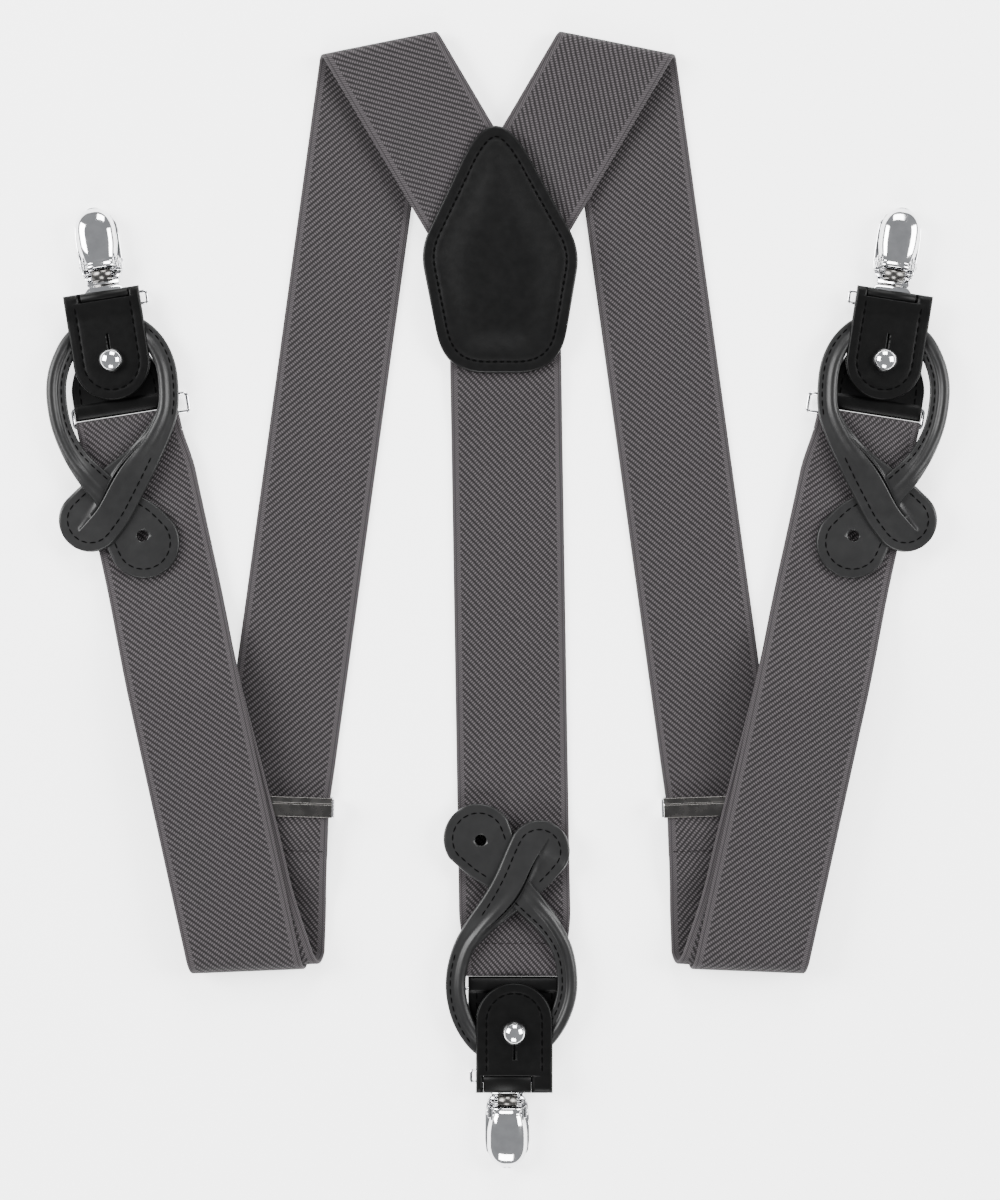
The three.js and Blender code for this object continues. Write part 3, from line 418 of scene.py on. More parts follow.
# ---------------------------------------------------------------------------------------------
# Meshes
# ---------------------------------------------------------------------------------------------
@dataclass
class Shape:
    """Points and faces of one piece, in millimetres, with an optional UV for each face corner."""

    points: list[Point] = field(default_factory=list)
    faces: list[tuple[int, ...]] = field(default_factory=list)
    uvs: list[list[Flat]] = field(default_factory=list)

    def add(self, other: "Shape") -> None:
        """Take another shape's points and faces in."""
        base = len(self.points)
        self.points += other.points
        self.faces += [tuple(i + base for i in f) for f in other.faces]

    def moved(self, matrix: Matrix) -> "Shape":
        """The same shape under a transform, turned the right way out after a mirror."""
        points = [tuple(matrix @ Vector(p)) for p in self.points]
        mirrored = matrix.determinant() < 0
        faces = [tuple(reversed(f)) if mirrored else f for f in self.faces]
        uvs = [list(reversed(u)) if mirrored else u for u in self.uvs]
        return Shape(points, faces, uvs)


def loft(rows: Sequence[Sequence[Point]], closed_rows: bool = True, caps: bool = True,
         ring: bool = False) -> Shape:
    """Join rows of points with faces.

    Args:
        rows: the rows, all of one length.
        closed_rows: whether each row closes on itself.
        caps: whether the first and last row get a face.
        ring: whether the last row joins the first.

    Returns:
        The lofted shape.
    """
    count = len(rows[0])
    shape = Shape([tuple(p) for row in rows for p in row])
    across = count if closed_rows else count - 1
    for r in range(len(rows) if ring else len(rows) - 1):
        for i in range(across):
            j = (i + 1) % count
            a, b = r * count, ((r + 1) % len(rows)) * count
            shape.faces.append((a + i, a + j, b + j, b + i))
    if caps and not ring:
        last = (len(rows) - 1) * count
        shape.faces.append(tuple(reversed(range(count))))
        shape.faces.append(tuple(range(last, last + count)))
    return shape


def piece(name: str, shape: Shape, finish: Finish, body: str | None, replaces: Iterable[str] = (),
          subdivide: int = 0, bevel: float = 0.0, recalc: bool = True) -> bpy.types.Object:
    """Make a named object from a shape, dress it and give it to a body.

    Args:
        name: the object's name.
        shape: its points and faces.
        finish: its finish.
        body: the body that it rides on, or None.
        replaces: the CAD nodes that it stands for.
        subdivide: levels of subdivision.
        bevel: edge bevel in millimetres.
        recalc: whether its faces are turned outwards here.

    Returns:
        The object.
    """
    mesh = bpy.data.meshes.new(name)
    mesh.from_pydata([tuple(c * MM for c in p) for p in shape.points], [], shape.faces)
    if shape.uvs:
        layer = mesh.uv_layers.new(name="UVMap")
        corners = [uv for face in shape.uvs for uv in face]
        for loop, (u, v) in zip(layer.data, corners):
            loop.uv = (u * MM, v * MM)
    obj = bpy.data.objects.new(name, mesh)
    bpy.context.scene.collection.objects.link(obj)
    if recalc:
        face_outwards(mesh)
    mesh.materials.append(material_for(finish))
    mesh.polygons.foreach_set("use_smooth", [True] * len(mesh.polygons))
    if bevel:
        edge = obj.modifiers.new("edge", "BEVEL")
        edge.width = bevel * MM
        edge.segments = 3
        edge.limit_method = "ANGLE"
        edge.harden_normals = True
    if subdivide:
        sub = obj.modifiers.new("sub", "SUBSURF")
        sub.levels = subdivide
        sub.render_levels = subdivide
    give(obj, finish, body, replaces)
    return obj


def give(obj: bpy.types.Object, finish: Finish, body: str | None, replaces: Iterable[str] = ()) -> None:
    """Ride a piece on a body, if one is given, hide the CAD nodes that it stands for and log its faces."""
    if body is not None:
        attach(obj, body)
    if replaces:
        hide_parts(*replaces)
    LOG.info("%s: %d faces on %s", obj.name, len(obj.data.polygons), body)


def face_outwards(mesh: bpy.types.Mesh) -> None:
    """Turn a mesh's faces outwards."""
    work = bmesh.new()
    work.from_mesh(mesh)
    bmesh.ops.recalc_face_normals(work, faces=work.faces)
    work.to_mesh(mesh)
    work.free()


def block(x0: float, x1: float, y0: float, y1: float, z0: float, z1: float) -> Shape:
    """A plain block, whose edges a bevel softens."""
    points = [(x, y, z) for z in (z0, z1) for x, y in ((x0, y0), (x1, y0), (x1, y1), (x0, y1))]
    faces = [(3, 2, 1, 0), (4, 5, 6, 7), (0, 1, 5, 4), (1, 2, 6, 5), (2, 3, 7, 6), (3, 0, 4, 7)]
    return Shape(points, faces)


def lathe(profile: Sequence[Flat], x: float, y: float, steps: int = 40) -> Shape:
    """A turned shape about a vertical axis, from (radius, z) points that start and end near the axis."""
    rows = []
    for i in range(steps):
        a = 2 * math.pi * i / steps
        rows.append([(x + r * math.cos(a), y + r * math.sin(a), z) for r, z in profile])
    shape = loft(rows, closed_rows=False, caps=False, ring=True)
    count = len(profile)
    shape.faces.append(tuple(i * count for i in range(steps)))
    shape.faces.append(tuple(i * count + count - 1 for i in reversed(range(steps))))
    return shape


def plate(outline: Sequence[Flat], centre: Flat, top: Height, bottom: Height, edge: float = 0.35,
          insets: Sequence[float] = (0.56, 1.4, 2.4, 3.4, 4.6, 6.0, 8.0)) -> Shape:
    """A leather plate over a star-shaped outline, with softly rounded edges.

    Args:
        outline: the rim's points, in order.
        centre: a point that sees all of the rim.
        top: the upper surface's height at x, y and distance from the rim.
        bottom: the lower surface's height likewise.
        edge: how round the rim is.
        insets: how far each ring of points is from the rim.

    Returns:
        The closed plate.
    """
    c = Vector(centre)
    sides = [(Vector(a), Vector(b)) for a, b in zip(outline, [*outline[1:], outline[0]])]

    def from_rim(q: Vector) -> float:
        """The shortest distance from a point to the rim."""
        best = 1e9
        for a, b in sides:
            along = b - a
            t = min(max((q - a).dot(along) / max(along.length_squared, 1e-12), 0.0), 1.0)
            best = min(best, (q - a - along * t).length)
        return best

    def ring(depth: float, scale: float, height: Height, drop: float) -> list[Point]:
        """One ring of points at a depth inside the rim."""
        row = []
        for p in outline:
            ray = Vector(p) - c
            size = ray.length
            keep = max(size - depth, size * 0.12) * scale
            q = c + ray.normalized() * keep
            row.append((q.x, q.y, height(q.x, q.y, from_rim(q)) + drop))
        return row

    def middle(x: float, y: float, d: float) -> float:
        """Half way between the two surfaces."""
        return (top(x, y, d) + bottom(x, y, d)) / 2

    inner = [(insets[-1], s) for s in (0.75, 0.5, 0.25)]
    levels = [(i, 1.0) for i in insets] + inner
    rows = [ring(i, s, bottom, 0.0) for i, s in reversed(levels)]
    rows.append(ring(edge * 0.4, 1.0, bottom, edge * 0.5))
    rows.append(ring(0.0, 1.0, middle, 0.0))
    rows.append(ring(edge * 0.4, 1.0, top, -edge * 0.5))
    rows += [ring(i, s, top, 0.0) for i, s in levels]
    return loft(rows)


# ---------------------------------------------------------------------------------------------
# Stitches, by Geometry Nodes
# ---------------------------------------------------------------------------------------------
class StitchTree:
    """A node tree that lays one stitch after another along a line of edges."""

    def __init__(self) -> None:
        """Build the tree."""
        tree = bpy.data.node_groups.new("stitches_along_line", "GeometryNodeTree")
        self.tree = tree
        face = tree.interface
        face.new_socket("Geometry", in_out="INPUT", socket_type="NodeSocketGeometry")
        names = ("Pitch", "Length", "Thickness")
        self.inputs = {n: face.new_socket(n, in_out="INPUT", socket_type="NodeSocketFloat") for n in names}
        self.inputs["Thread"] = face.new_socket("Thread", in_out="INPUT", socket_type="NodeSocketMaterial")
        face.new_socket("Geometry", in_out="OUTPUT", socket_type="NodeSocketGeometry")
        new, link = tree.nodes.new, tree.links.new
        start, end = new("NodeGroupInput"), new("NodeGroupOutput")
        curve = new("GeometryNodeMeshToCurve")
        resample = new("GeometryNodeResampleCurve")
        resample.mode = "LENGTH"
        ball = new("GeometryNodeMeshUVSphere")
        ball.inputs["Segments"].default_value = 8
        ball.inputs["Rings"].default_value = 6
        ball.inputs["Radius"].default_value = 0.5
        size = new("ShaderNodeCombineXYZ")
        place = new("GeometryNodeInstanceOnPoints")
        tangent = new("GeometryNodeInputTangent")
        align = new("FunctionNodeAlignEulerToVector")
        align.axis = "X"
        real = new("GeometryNodeRealizeInstances")
        dress = new("GeometryNodeSetMaterial")
        link(start.outputs["Geometry"], curve.inputs[0])
        link(curve.outputs[0], resample.inputs["Curve"])
        link(start.outputs["Pitch"], resample.inputs["Length"])
        link(resample.outputs[0], place.inputs["Points"])
        link(ball.outputs["Mesh"], place.inputs["Instance"])
        link(start.outputs["Length"], size.inputs[0])
        link(start.outputs["Thickness"], size.inputs[1])
        link(start.outputs["Thickness"], size.inputs[2])
        link(size.outputs[0], place.inputs["Scale"])
        link(tangent.outputs[0], align.inputs["Vector"])
        link(align.outputs[0], place.inputs["Rotation"])
        link(place.outputs[0], real.inputs[0])
        link(real.outputs[0], dress.inputs["Geometry"])
        link(start.outputs["Thread"], dress.inputs["Material"])
        link(dress.outputs[0], end.inputs[0])

    def sew(self, name: str, lines: Sequence[Sequence[Point]], finish: Finish, body: str,
            pitch: float = 3.0, length: float = 2.5, thickness: float = 0.55) -> bpy.types.Object:
        """Lay stitches along lines and make them one plain mesh.

        Args:
            name: the finished piece's name.
            lines: the lines to sew, in millimetres.
            finish: the thread.
            body: the body that the stitches ride on.
            pitch: from one stitch to the next.
            length: a stitch's visible length.
            thickness: the thread's thickness.

        Returns:
            The stitches.
        """
        points = [tuple(c * MM for c in p) for line in lines for p in line]
        edges, base = [], 0
        for line in lines:
            edges += [(base + i, base + i + 1) for i in range(len(line) - 1)]
            base += len(line)
        mesh = bpy.data.meshes.new(name + "_route")
        mesh.from_pydata(points, edges, [])
        route = bpy.data.objects.new(name + "_route", mesh)
        bpy.context.scene.collection.objects.link(route)
        modifier = route.modifiers.new("stitches", "NODES")
        modifier.node_group = self.tree
        for key, value in (("Pitch", pitch * MM), ("Length", length * MM), ("Thickness", thickness * MM)):
            modifier[self.inputs[key].identifier] = value
        modifier[self.inputs["Thread"].identifier] = material_for(finish)
        graph = bpy.context.evaluated_depsgraph_get()
        done = bpy.data.meshes.new_from_object(route.evaluated_get(graph))
        done.name = name
        bpy.data.objects.remove(route)
        obj = bpy.data.objects.new(name, done)
        bpy.context.scene.collection.objects.link(obj)
        done.polygons.foreach_set("use_smooth", [True] * len(done.polygons))
        give(obj, finish, body)
        return obj


# ---------------------------------------------------------------------------------------------
# Webbing: the folded straps
# ---------------------------------------------------------------------------------------------
@dataclass(frozen=True)
class WebbingSize:
    """The webbing's section and how far layers lie apart."""

    width: float = 35.0
    thick: float = 1.2
    gap: float = 0.25
    selvedge: float = 2.3

    @property
    def pitch(self) -> float:
        """Centre to centre of two layers."""
        return self.thick + self.gap

    @property
    def table(self) -> float:
        """Centre height of webbing on the table."""
        return self.thick / 2 + 0.02


WEB = WebbingSize()
RING_WIRE, RING_HEIGHT, WIRE_Z, WIRE_CLEARANCE = 1.2, 7.0, 2.0, 0.12
WRAP_RADIUS = RING_WIRE / 2 + WIRE_CLEARANCE + WEB.thick / 2
RING_BAR = RING_HEIGHT / 2 - RING_WIRE / 2
RING_MIDDLE_Z = WIRE_Z + RING_WIRE / 2 + WIRE_CLEARANCE + WEB.thick / 2
LAYER_Z = {"back": 2.15, "right": 3.6, "left": 5.05, "leaf": 5.95}
RING_PINCH = 0.92


@dataclass
class Crease:
    """A fold of the webbing about a line, laid with a soft bend."""

    tilt: float
    radius: float
    point: Flat
    side: int

    def __post_init__(self) -> None:
        """Work out the fold's line."""
        self.along = unit(self.tilt)
        self.across = unit(self.tilt + 90) * self.side
        self.line = Vector(self.point) - self.across * (self.radius + WEB.thick / 2)
        self.turn = math.pi * self.radius

    def place(self, point: Vector) -> tuple[Vector, float, float, float]:
        """Fold a point of the flat sheet.

        Args:
            point: where it is on the flat sheet.

        Returns:
            Its place, lift, lean in radians and distance past the fold line.
        """
        offset = point - self.line
        q, t = offset.dot(self.across), offset.dot(self.along)
        if q <= 0:
            h, lift, lean = q, 0.0, 0.0
        elif q >= self.turn:
            h, lift, lean = self.turn - q, 2 * self.radius, math.pi
        else:
            lean = q / self.radius
            h, lift = self.radius * math.sin(lean), self.radius * (1 - math.cos(lean))
        return self.line + self.along * t + self.across * h, lift, lean, q


@dataclass
class Station:
    """One row of a ribbon: its place, slant, sideways slip and pinch."""

    u: float
    n: float
    skew: float = 0.0
    slip: float = 0.0
    pinch: float = 1.0


def pinch_at(distance: float) -> float:
    """How much webbing is bunched at a distance from a ring."""
    return 1 - (1 - RING_PINCH) * (1 - smooth((distance - 3) / 16))


def wrap_path(wire: float, limb: float, skew: float) -> list[Station]:
    """The wrap round a ring's wire and a short limb back."""
    turn = []
    for a in spread(0, 180, 18):
        r = math.radians(a)
        u, n = wire + WRAP_RADIUS * math.sin(r), -WRAP_RADIUS * (1 - math.cos(r))
        turn.append(Station(u, n, skew, 0, RING_PINCH))
    return turn + [Station(wire - limb, -2 * WRAP_RADIUS, skew, 0, pinch_at(limb))]


def ribbon(path: Sequence[Station], to_space: Callable[[float, float, float], Point],
           flip: Callable[[Station], int], part: slice = slice(None)) -> tuple[Shape, float]:
    """A webbing ribbon with rounded selvedges, with UVs in millimetres.

    Args:
        path: its rows.
        to_space: the map from along, across and out to space.
        flip: the twill's handedness at a row, 1 or -1.
        part: which of the rows are made, when a length is made as two pieces.

    Returns:
        The closed shape and its length.
    """
    half, edge = WEB.width / 2, 0.6
    across = [-half, -half + 0.12, -half + 0.4, -half + 0.9, -half + 1.6, -half + 2.3, -half + 2.9]
    across += [-12.0, -9.0, -6.0, -3.0, 0.0]
    across += [-v for v in reversed(across[:-1])]

    def depth(v: float) -> float:
        """Half of the webbing's thickness at v."""
        inset = half - abs(v)
        rim = math.sqrt(max(0.0, 1 - (1 - min(inset / edge, 1)) ** 2))
        valley = 0.03 * math.exp(-((inset - WEB.selvedge) / 0.35) ** 2)
        return max(0.04, rim * (WEB.thick / 2 - valley - 0.02 * (inset < WEB.selvedge)))

    rows, coords, length = [], [], 0.0
    for i, s in enumerate(path):
        before, after = path[max(i - 1, 0)], path[min(i + 1, len(path) - 1)]
        size = math.hypot(after.u - before.u, after.n - before.n)
        du, dn = (after.u - before.u) / size, (after.n - before.n) / size
        if i:
            length += math.hypot(s.u - path[i - 1].u, s.n - path[i - 1].n)
        row, coord = [], []
        for sign, order in ((1, across), (-1, list(reversed(across)))):
            for v0 in order:
                v, t = v0 * s.pinch, sign * depth(v0)
                row.append(tuple(to_space(s.u + v * s.skew - t * dn, v + s.slip, s.n + t * du)))
                coord.append((length + v * s.skew, v0))
        rows.append(row)
        coords.append(coord)
    if part != slice(None):
        rows, coords, path = rows[part], coords[part], path[part]
        length = coords[-1][0][0] - coords[0][0][0]
    shape = loft(rows)
    count = len(rows[0])
    for face in shape.faces:
        index = [divmod(i, count) for i in face]
        middle_row = min(r for r, _ in index)
        sign = flip(path[middle_row])
        shape.uvs.append([(coords[r][c][0], coords[r][c][1] * sign) for r, c in index])
    return shape, length


class FrontStrapMap:
    """The folded front strap of the left side, as a map from along, across and out to space."""

    START = Vector((4.98, 103.4))
    UNDER_PATCH, TOP_LEAN = 46.0, 30.6
    RING_POINT, END_TILT = Vector((-115.45, 59.5)), 8.9
    DESCENT = (80.0, 121.0)
    SLIDE_Y, SLIDE_TILT, STRAP_LIFT = -64.4, -2.0, 1.35

    def __init__(self) -> None:
        """Work out where the folds, the slide and the ring are along the strap."""
        self.top = Crease(11.4, 2.2, (-37.3, 175.0), 1)
        self.bottom = Crease(2.3, 4.6, (-76.0, -116.2), -1)
        self.run, self.right = unit(90 + self.TOP_LEAN), unit(self.TOP_LEAN)
        self.u_top = (self.top.line - self.START).dot(self.top.across) / self.run.dot(self.top.across)
        self.after_top = self.u_top + self.top.turn
        base = self.middle(self.after_top + 50)
        back = self.middle(self.after_top + 51) - base
        speed = back.length
        back.normalize()
        self.u_slide = self.after_top + 50 + (self.SLIDE_Y - base.y) / back.y / speed
        gap = (self.bottom.line - base).dot(self.bottom.across) / back.dot(self.bottom.across)
        self.u_bottom = self.after_top + 50 + gap
        self.after_bottom = self.u_bottom + self.bottom.turn
        front = self.front_middle(self.after_bottom + 60) - self.front_middle(self.after_bottom + 10)
        front.normalize()
        self.u_ring = self.after_bottom + (self.RING_POINT - self.front_middle(self.after_bottom)).dot(front)
        lean = math.degrees(math.atan2(front.y, front.x)) - 90
        self.ring_skew = math.tan(math.radians(self.END_TILT - lean))
        self.top_skew = -self.right.dot(self.top.across) / self.run.dot(self.top.across)
        back_right = Vector((-back.y, back.x))
        self.bottom_skew = -back_right.dot(self.bottom.across) / back.dot(self.bottom.across)
        self.slide_at = self.middle(self.u_slide)

    def middle(self, u: float) -> Vector:
        """The middle of the strap between the two folds."""
        return self.top.place(self.START + self.run * u)[0]

    def front_middle(self, u: float) -> Vector:
        """The middle of the strap past the lower fold."""
        return self.bottom.place(self.middle(u))[0]

    def front_height(self, past: float) -> float:
        """Height of the front run's middle at a distance past the lower fold."""
        top = WEB.table + 2 * self.bottom.radius
        fall = smooth((past - self.DESCENT[0]) / (self.DESCENT[1] - self.DESCENT[0]))
        return top + (RING_MIDDLE_Z - top) * fall

    def point(self, u: float, v: float, n: float, patch_height: float) -> Point:
        """Place a point of the sheet, n out of its face."""
        flat, lift, lean, q = self.top.place(self.START + self.run * u + self.right * v)
        top = WEB.table + 2 * self.top.radius
        z = top - lift
        risen = smooth((u - self.UNDER_PATCH) / (self.u_top - 4 - self.UNDER_PATCH))
        z += (patch_height - top) * (1 - risen)
        face, out = lean, self.top.across
        if q > self.top.turn + 20:
            flat, lift2, lean2, q2 = self.bottom.place(flat)
            z = WEB.table + lift2
            if q2 > self.bottom.turn:
                z = self.front_height(q2 - self.bottom.turn)
            face = math.pi + lean2
            if q2 > 0:
                out = self.bottom.across
        flat = flat + out * (n * abs(math.sin(face)))
        return (flat.x, flat.y, z + n * math.cos(face))

    def skew(self, u: float) -> float:
        """The slant of a row, which follows each fold."""
        stops = [(0, 0), (self.u_top - 22, self.top_skew), (self.after_top + 22, self.top_skew),
                 (self.u_slide - 30, 0), (self.u_slide + 15, 0), (self.u_bottom - 14, self.bottom_skew),
                 (self.after_bottom + 14, self.bottom_skew), (self.after_bottom + 60, 0),
                 (self.u_ring - 40, 0), (self.u_ring - 12, self.ring_skew)]
        for (u0, s0), (u1, s1) in zip(stops, stops[1:]):
            if u < u1:
                return s0 + (s1 - s0) * smooth((u - u0) / (u1 - u0))
        return self.ring_skew

    def slide_lift(self, u: float) -> float:
        """How far the slide's bar lifts the strap."""
        rise = smooth((u - (self.u_slide - 16)) / 11)
        fall = 1 - smooth((u - (self.u_slide + 4)) / 12)
        return -self.STRAP_LIFT * min(rise, fall)


@dataclass(frozen=True)
class SlideSize:
    """The adjuster slide: x across the strap, y up the strap, z off the table."""

    width: float = 39.0
    tall: float = 6.2
    rail: float = 1.0
    top_bar: tuple[float, float, float, float] = (0.9, 2.9, 0.15, 1.15)
    loop_bar: tuple[float, float, float, float] = (-3.2, -1.2, 4.1, 4.9)
    plate: tuple[float, float] = (6.45, 7.25)


SLIDE = SlideSize()


class Straps:
    """All webbing: two front straps, two return straps and the back strap."""

    RETURN_LEAN, HEM = 5.8, 14.0
    SETTLED = 1.9
    BACK_LEAN, BACK_TOP, BACK_RING = 0.94, 106.0, Vector((5.6, -119.2))

    def __init__(self, fold: FrontStrapMap, sewing: StitchTree) -> None:
        """Keep the map and the stitch tree."""
        self.fold = fold
        self.sewing = sewing

    def dress(self, name: str, shape: Shape, length: float, node: str, body: str,
              rests: Sequence[str], blend: tuple[str, str, Point, Point] | None = None) -> None:
        """Make a webbing piece and tie it to a body, or bake its transform in when a blend is given."""
        obj = piece(name, shape, Finish.WEBBING, None if blend else body, (node,), recalc=False)
        LOG.info("%s: %.1f mm of webbing", name, length)
        if blend:
            a, b, start, end = blend
            tuple(c * MM for c in start)
            tuple(c * MM for c in end)
            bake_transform(obj)

    def front(self, side: str, flip: Matrix) -> None:
        """A front strap, from the patch over both folds to the ring."""
        f = self.fold
        us = spread(0, f.u_top - 1, 40) + spread(f.u_top, f.after_top, 18)
        us += spread(f.after_top + 1.5, f.u_slide - 17, 60) + spread(f.u_slide - 16, f.u_slide + 17, 30)
        us += spread(f.u_slide + 19, f.u_bottom - 1, 18) + spread(f.u_bottom, f.after_bottom, 26)
        us += spread(f.after_bottom + 2, f.u_ring - RING_BAR - 2, 100)
        path = [Station(u, f.slide_lift(u), f.skew(u), 0, pinch_at(f.u_ring - RING_BAR - u)) for u in us]
        path += wrap_path(f.u_ring - RING_BAR, 5, f.ring_skew)
        turned = side == "right"

        def hand(s: Station) -> int:
            """The right strap's top run shows the other face of the twill."""
            return -1 if turned and s.u < f.u_top + f.top.turn / 2 else 1

        shape, length = ribbon(path, lambda u, v, n: f.point(u, v, n, LAYER_Z[side]), hand)
        self.dress(f"{side}_front_webbing", outward(shape).moved(flip), length,
                   f"{side}_front_strap", "straps", [f"{side}_return_webbing"])

    def slip(self, u: float) -> float:
        """How far the return strap has slipped sideways."""
        f, tan = self.fold, math.tan(math.radians(self.RETURN_LEAN))
        at_fold = (f.u_bottom - f.u_slide) * tan
        if u < f.u_bottom:
            return max(0.0, (u - f.u_slide) * tan)
        settled_at = f.after_bottom + 26
        if u < settled_at:
            return at_fold + (self.SETTLED - at_fold) * smooth((u - f.u_bottom) / (settled_at - f.u_bottom))
        return self.SETTLED * (1 - smooth((u - settled_at) / 70))

    def back_to_slide(self, side: str, flip: Matrix) -> None:
        """A return strap: sewn round the slide, then under the front run to the ring.

        It is two pieces that meet in the middle of the lower fold: the one by the slide and the one under
        the front run.

        Args:
            side: left or right.
            flip: the mirror for the right side.
        """
        f = self.fold
        beside = -math.tan(math.radians(self.RETURN_LEAN))
        y0, y1, z0, z1 = SLIDE.loop_bar
        bar_u, bar_n = f.u_slide - (y0 + y1) / 2, -((z0 + z1) / 2 - WEB.table)
        radius = (z1 - z0) / 2 + 0.2 + WEB.thick / 2
        turn_u = bar_u - (y1 - y0) / 2

        def skew(u: float) -> float:
            """The row's slant, level with the return strap's own lean near the slide."""
            if u < f.u_slide + 20:
                return beside
            return beside + (f.skew(u) - beside) * smooth((u - f.u_slide - 20) / 18)

        def at(u: float, n: float) -> Station:
            """A row at u."""
            return Station(u, n, skew(u), self.slip(u), pinch_at(f.u_ring - RING_BAR - u))

        high, low = bar_n - radius, -WEB.pitch
        ring_end = f.u_ring - RING_BAR - 5.3

        def step(u: float) -> float:
            """The strap comes down off its own hem."""
            fall = 1.05 * smooth((u - turn_u - 4) / 11)
            return high + fall + (low - high - 1.05) * smooth((u - turn_u - 15) / 16)

        path = [at(u, bar_n + radius) for u in spread(turn_u + self.HEM, turn_u + 1, 10)]
        for a in spread(0, 180, 18):
            r = math.radians(a)
            u, n = turn_u - radius * math.sin(r), bar_n + radius * math.cos(r)
            path.append(Station(u, n, beside, self.slip(turn_u)))
        path += [at(u, step(u)) for u in spread(turn_u + 1, f.u_bottom - 1, 40)]
        split = len(path) + 13
        path += [at(u, low) for u in spread(f.u_bottom, f.after_bottom, 26)]
        path += [at(u, low) for u in spread(f.after_bottom + 2, f.after_bottom + 122, 50)]
        for u in spread(f.after_bottom + 125, ring_end, 16):
            path.append(at(u, low + (-2 * WRAP_RADIUS - low) * smooth((u - ring_end + 26) / 20)))
        x = f.slide_at.x * (1 if side == "left" else -1)
        bend = ("straps", f"{side}_slide", (x, f.SLIDE_Y - 48, 4.0), (x, f.SLIDE_Y - 14.5, 4.0))

        def place(u: float, v: float, n: float) -> Point:
            """Lay the strap along the left side's map."""
            return f.point(u, v, n, LAYER_Z["left"])

        for name, part, tie in (("return_webbing", slice(0, split + 1), bend),
                                ("inner_webbing", slice(split, None), None)):
            shape, length = ribbon(path, place, lambda s: -1, part)
            self.dress(f"{side}_{name}", outward(shape).moved(flip), length, f"{side}_return_strap",
                       "straps", [f"{side}_slide_plate"], tie)
        seam = turn_u + 12.6
        line = []
        for v in spread(-15.5, 15.5, 60):
            p = place(seam + v * beside, v + self.slip(seam), step(seam) - WEB.thick / 2 - 0.02)
            line.append(tuple(flip @ Vector(p)))
        self.sewing.sew(f"{side}_hem_stitches", [line], Finish.HEM_THREAD, f"{side}_slide", 2.2, 1.7, 0.34)

    def back(self) -> None:
        """The back strap, from the patch to its ring."""
        down, right = unit(-90 + self.BACK_LEAN), unit(self.BACK_LEAN)
        length = self.BACK_TOP - self.BACK_RING.y
        top = self.BACK_RING - down * length
        wire = length - RING_BAR
        skew = math.tan(math.radians(self.BACK_LEAN))

        def height(u: float) -> float:
            """Height of the strap's middle."""
            under = LAYER_Z["back"] + (WEB.table - LAYER_Z["back"]) * smooth((u - 34) / 24)
            return under + (RING_MIDDLE_Z - WEB.table) * smooth((u - wire + 42) / 30)

        us = spread(0, wire - 2, 130)
        path = [Station(u, height(u), skew * smooth((u - 60) / 40), 0, pinch_at(wire - u)) for u in us]
        path += [Station(s.u, s.n + RING_MIDDLE_Z, s.skew, 0, s.pinch) for s in wrap_path(wire, 12, skew)]

        def place(u: float, v: float, n: float) -> Point:
            """Lay the strap straight down from the patch."""
            p = top + down * u + right * v
            return (p.x, p.y, n)

        shape, cut = ribbon(path, place, lambda s: -1)
        self.dress("back_webbing", outward(shape), cut, "back_strap", "straps", [])
        seam = wire - 8.6
        over = height(seam) + WEB.thick / 2 + 0.02
        line = [place(seam + v * skew, v, over) for v in spread(-15.5, 15.5, 60)]
        self.sewing.sew("back_seam_stitches", [line], Finish.HEM_THREAD, "straps", 2.2, 1.7, 0.3)


def outward(shape: Shape) -> Shape:
    """Turn a whole closed shape's faces outwards."""
    total = 0.0
    for face in shape.faces:
        a = Vector(shape.points[face[0]])
        for i, j in zip(face[1:], face[2:]):
            total += a.dot(Vector(shape.points[i]).cross(Vector(shape.points[j])))
    if total < 0:
        shape.faces = [tuple(reversed(f)) for f in shape.faces]
        shape.uvs = [list(reversed(u)) for u in shape.uvs]
    return shape


# ---------------------------------------------------------------------------------------------
# Back patch
# ---------------------------------------------------------------------------------------------
def rounded(corners: Sequence[Point], steps: int = 10, fill: float = 2.0) -> list[Flat]:
    """A polygon with rounded corners and evenly filled sides.

    Args:
        corners: each corner's x, y and how round it is.
        steps: points on each corner.
        fill: the spacing of points on the sides.

    Returns:
        The outline's points.
    """
    points: list[Flat] = []
    for i, (x, y, radius) in enumerate(corners):
        at = Vector((x, y))
        before = Vector(corners[i - 1][:2])
        after = Vector(corners[(i + 1) % len(corners)][:2])
        a, b = (before - at).normalized(), (after - at).normalized()
        half = math.acos(max(-1.0, min(1.0, a.dot(b)))) / 2
        reach = radius / math.tan(half)
        start, end = at + a * reach, at + b * reach
        if points:
            last = Vector(points[-1])
            pieces = max(1, int((start - last).length / fill))
            points += [tuple(last.lerp(start, k / pieces)) for k in range(1, pieces)]
        for t in spread(0, 1, steps):
            points.append(tuple(start * (1 - t) ** 2 + at * 2 * t * (1 - t) + end * t * t))
    last, first = Vector(points[-1]), Vector(points[0])
    pieces = max(1, int((first - last).length / fill))
    points += [tuple(last.lerp(first, k / pieces)) for k in range(1, pieces)]
    return points


def inset(outline: Sequence[Flat], distance: float, centre: Flat) -> list[Flat]:
    """A closed outline moved towards a centre's side by a distance, at right angles to itself."""
    out = []
    count = len(outline)
    for i, p in enumerate(outline):
        before, after = outline[(i - 2) % count], outline[(i + 2) % count]
        t = (Vector(after) - Vector(before)).normalized()
        n = Vector((-t.y, t.x))
        if n.dot(Vector(centre) - Vector(p)) < 0:
            n = -n
        out.append(tuple(Vector(p) + n * distance))
    return out


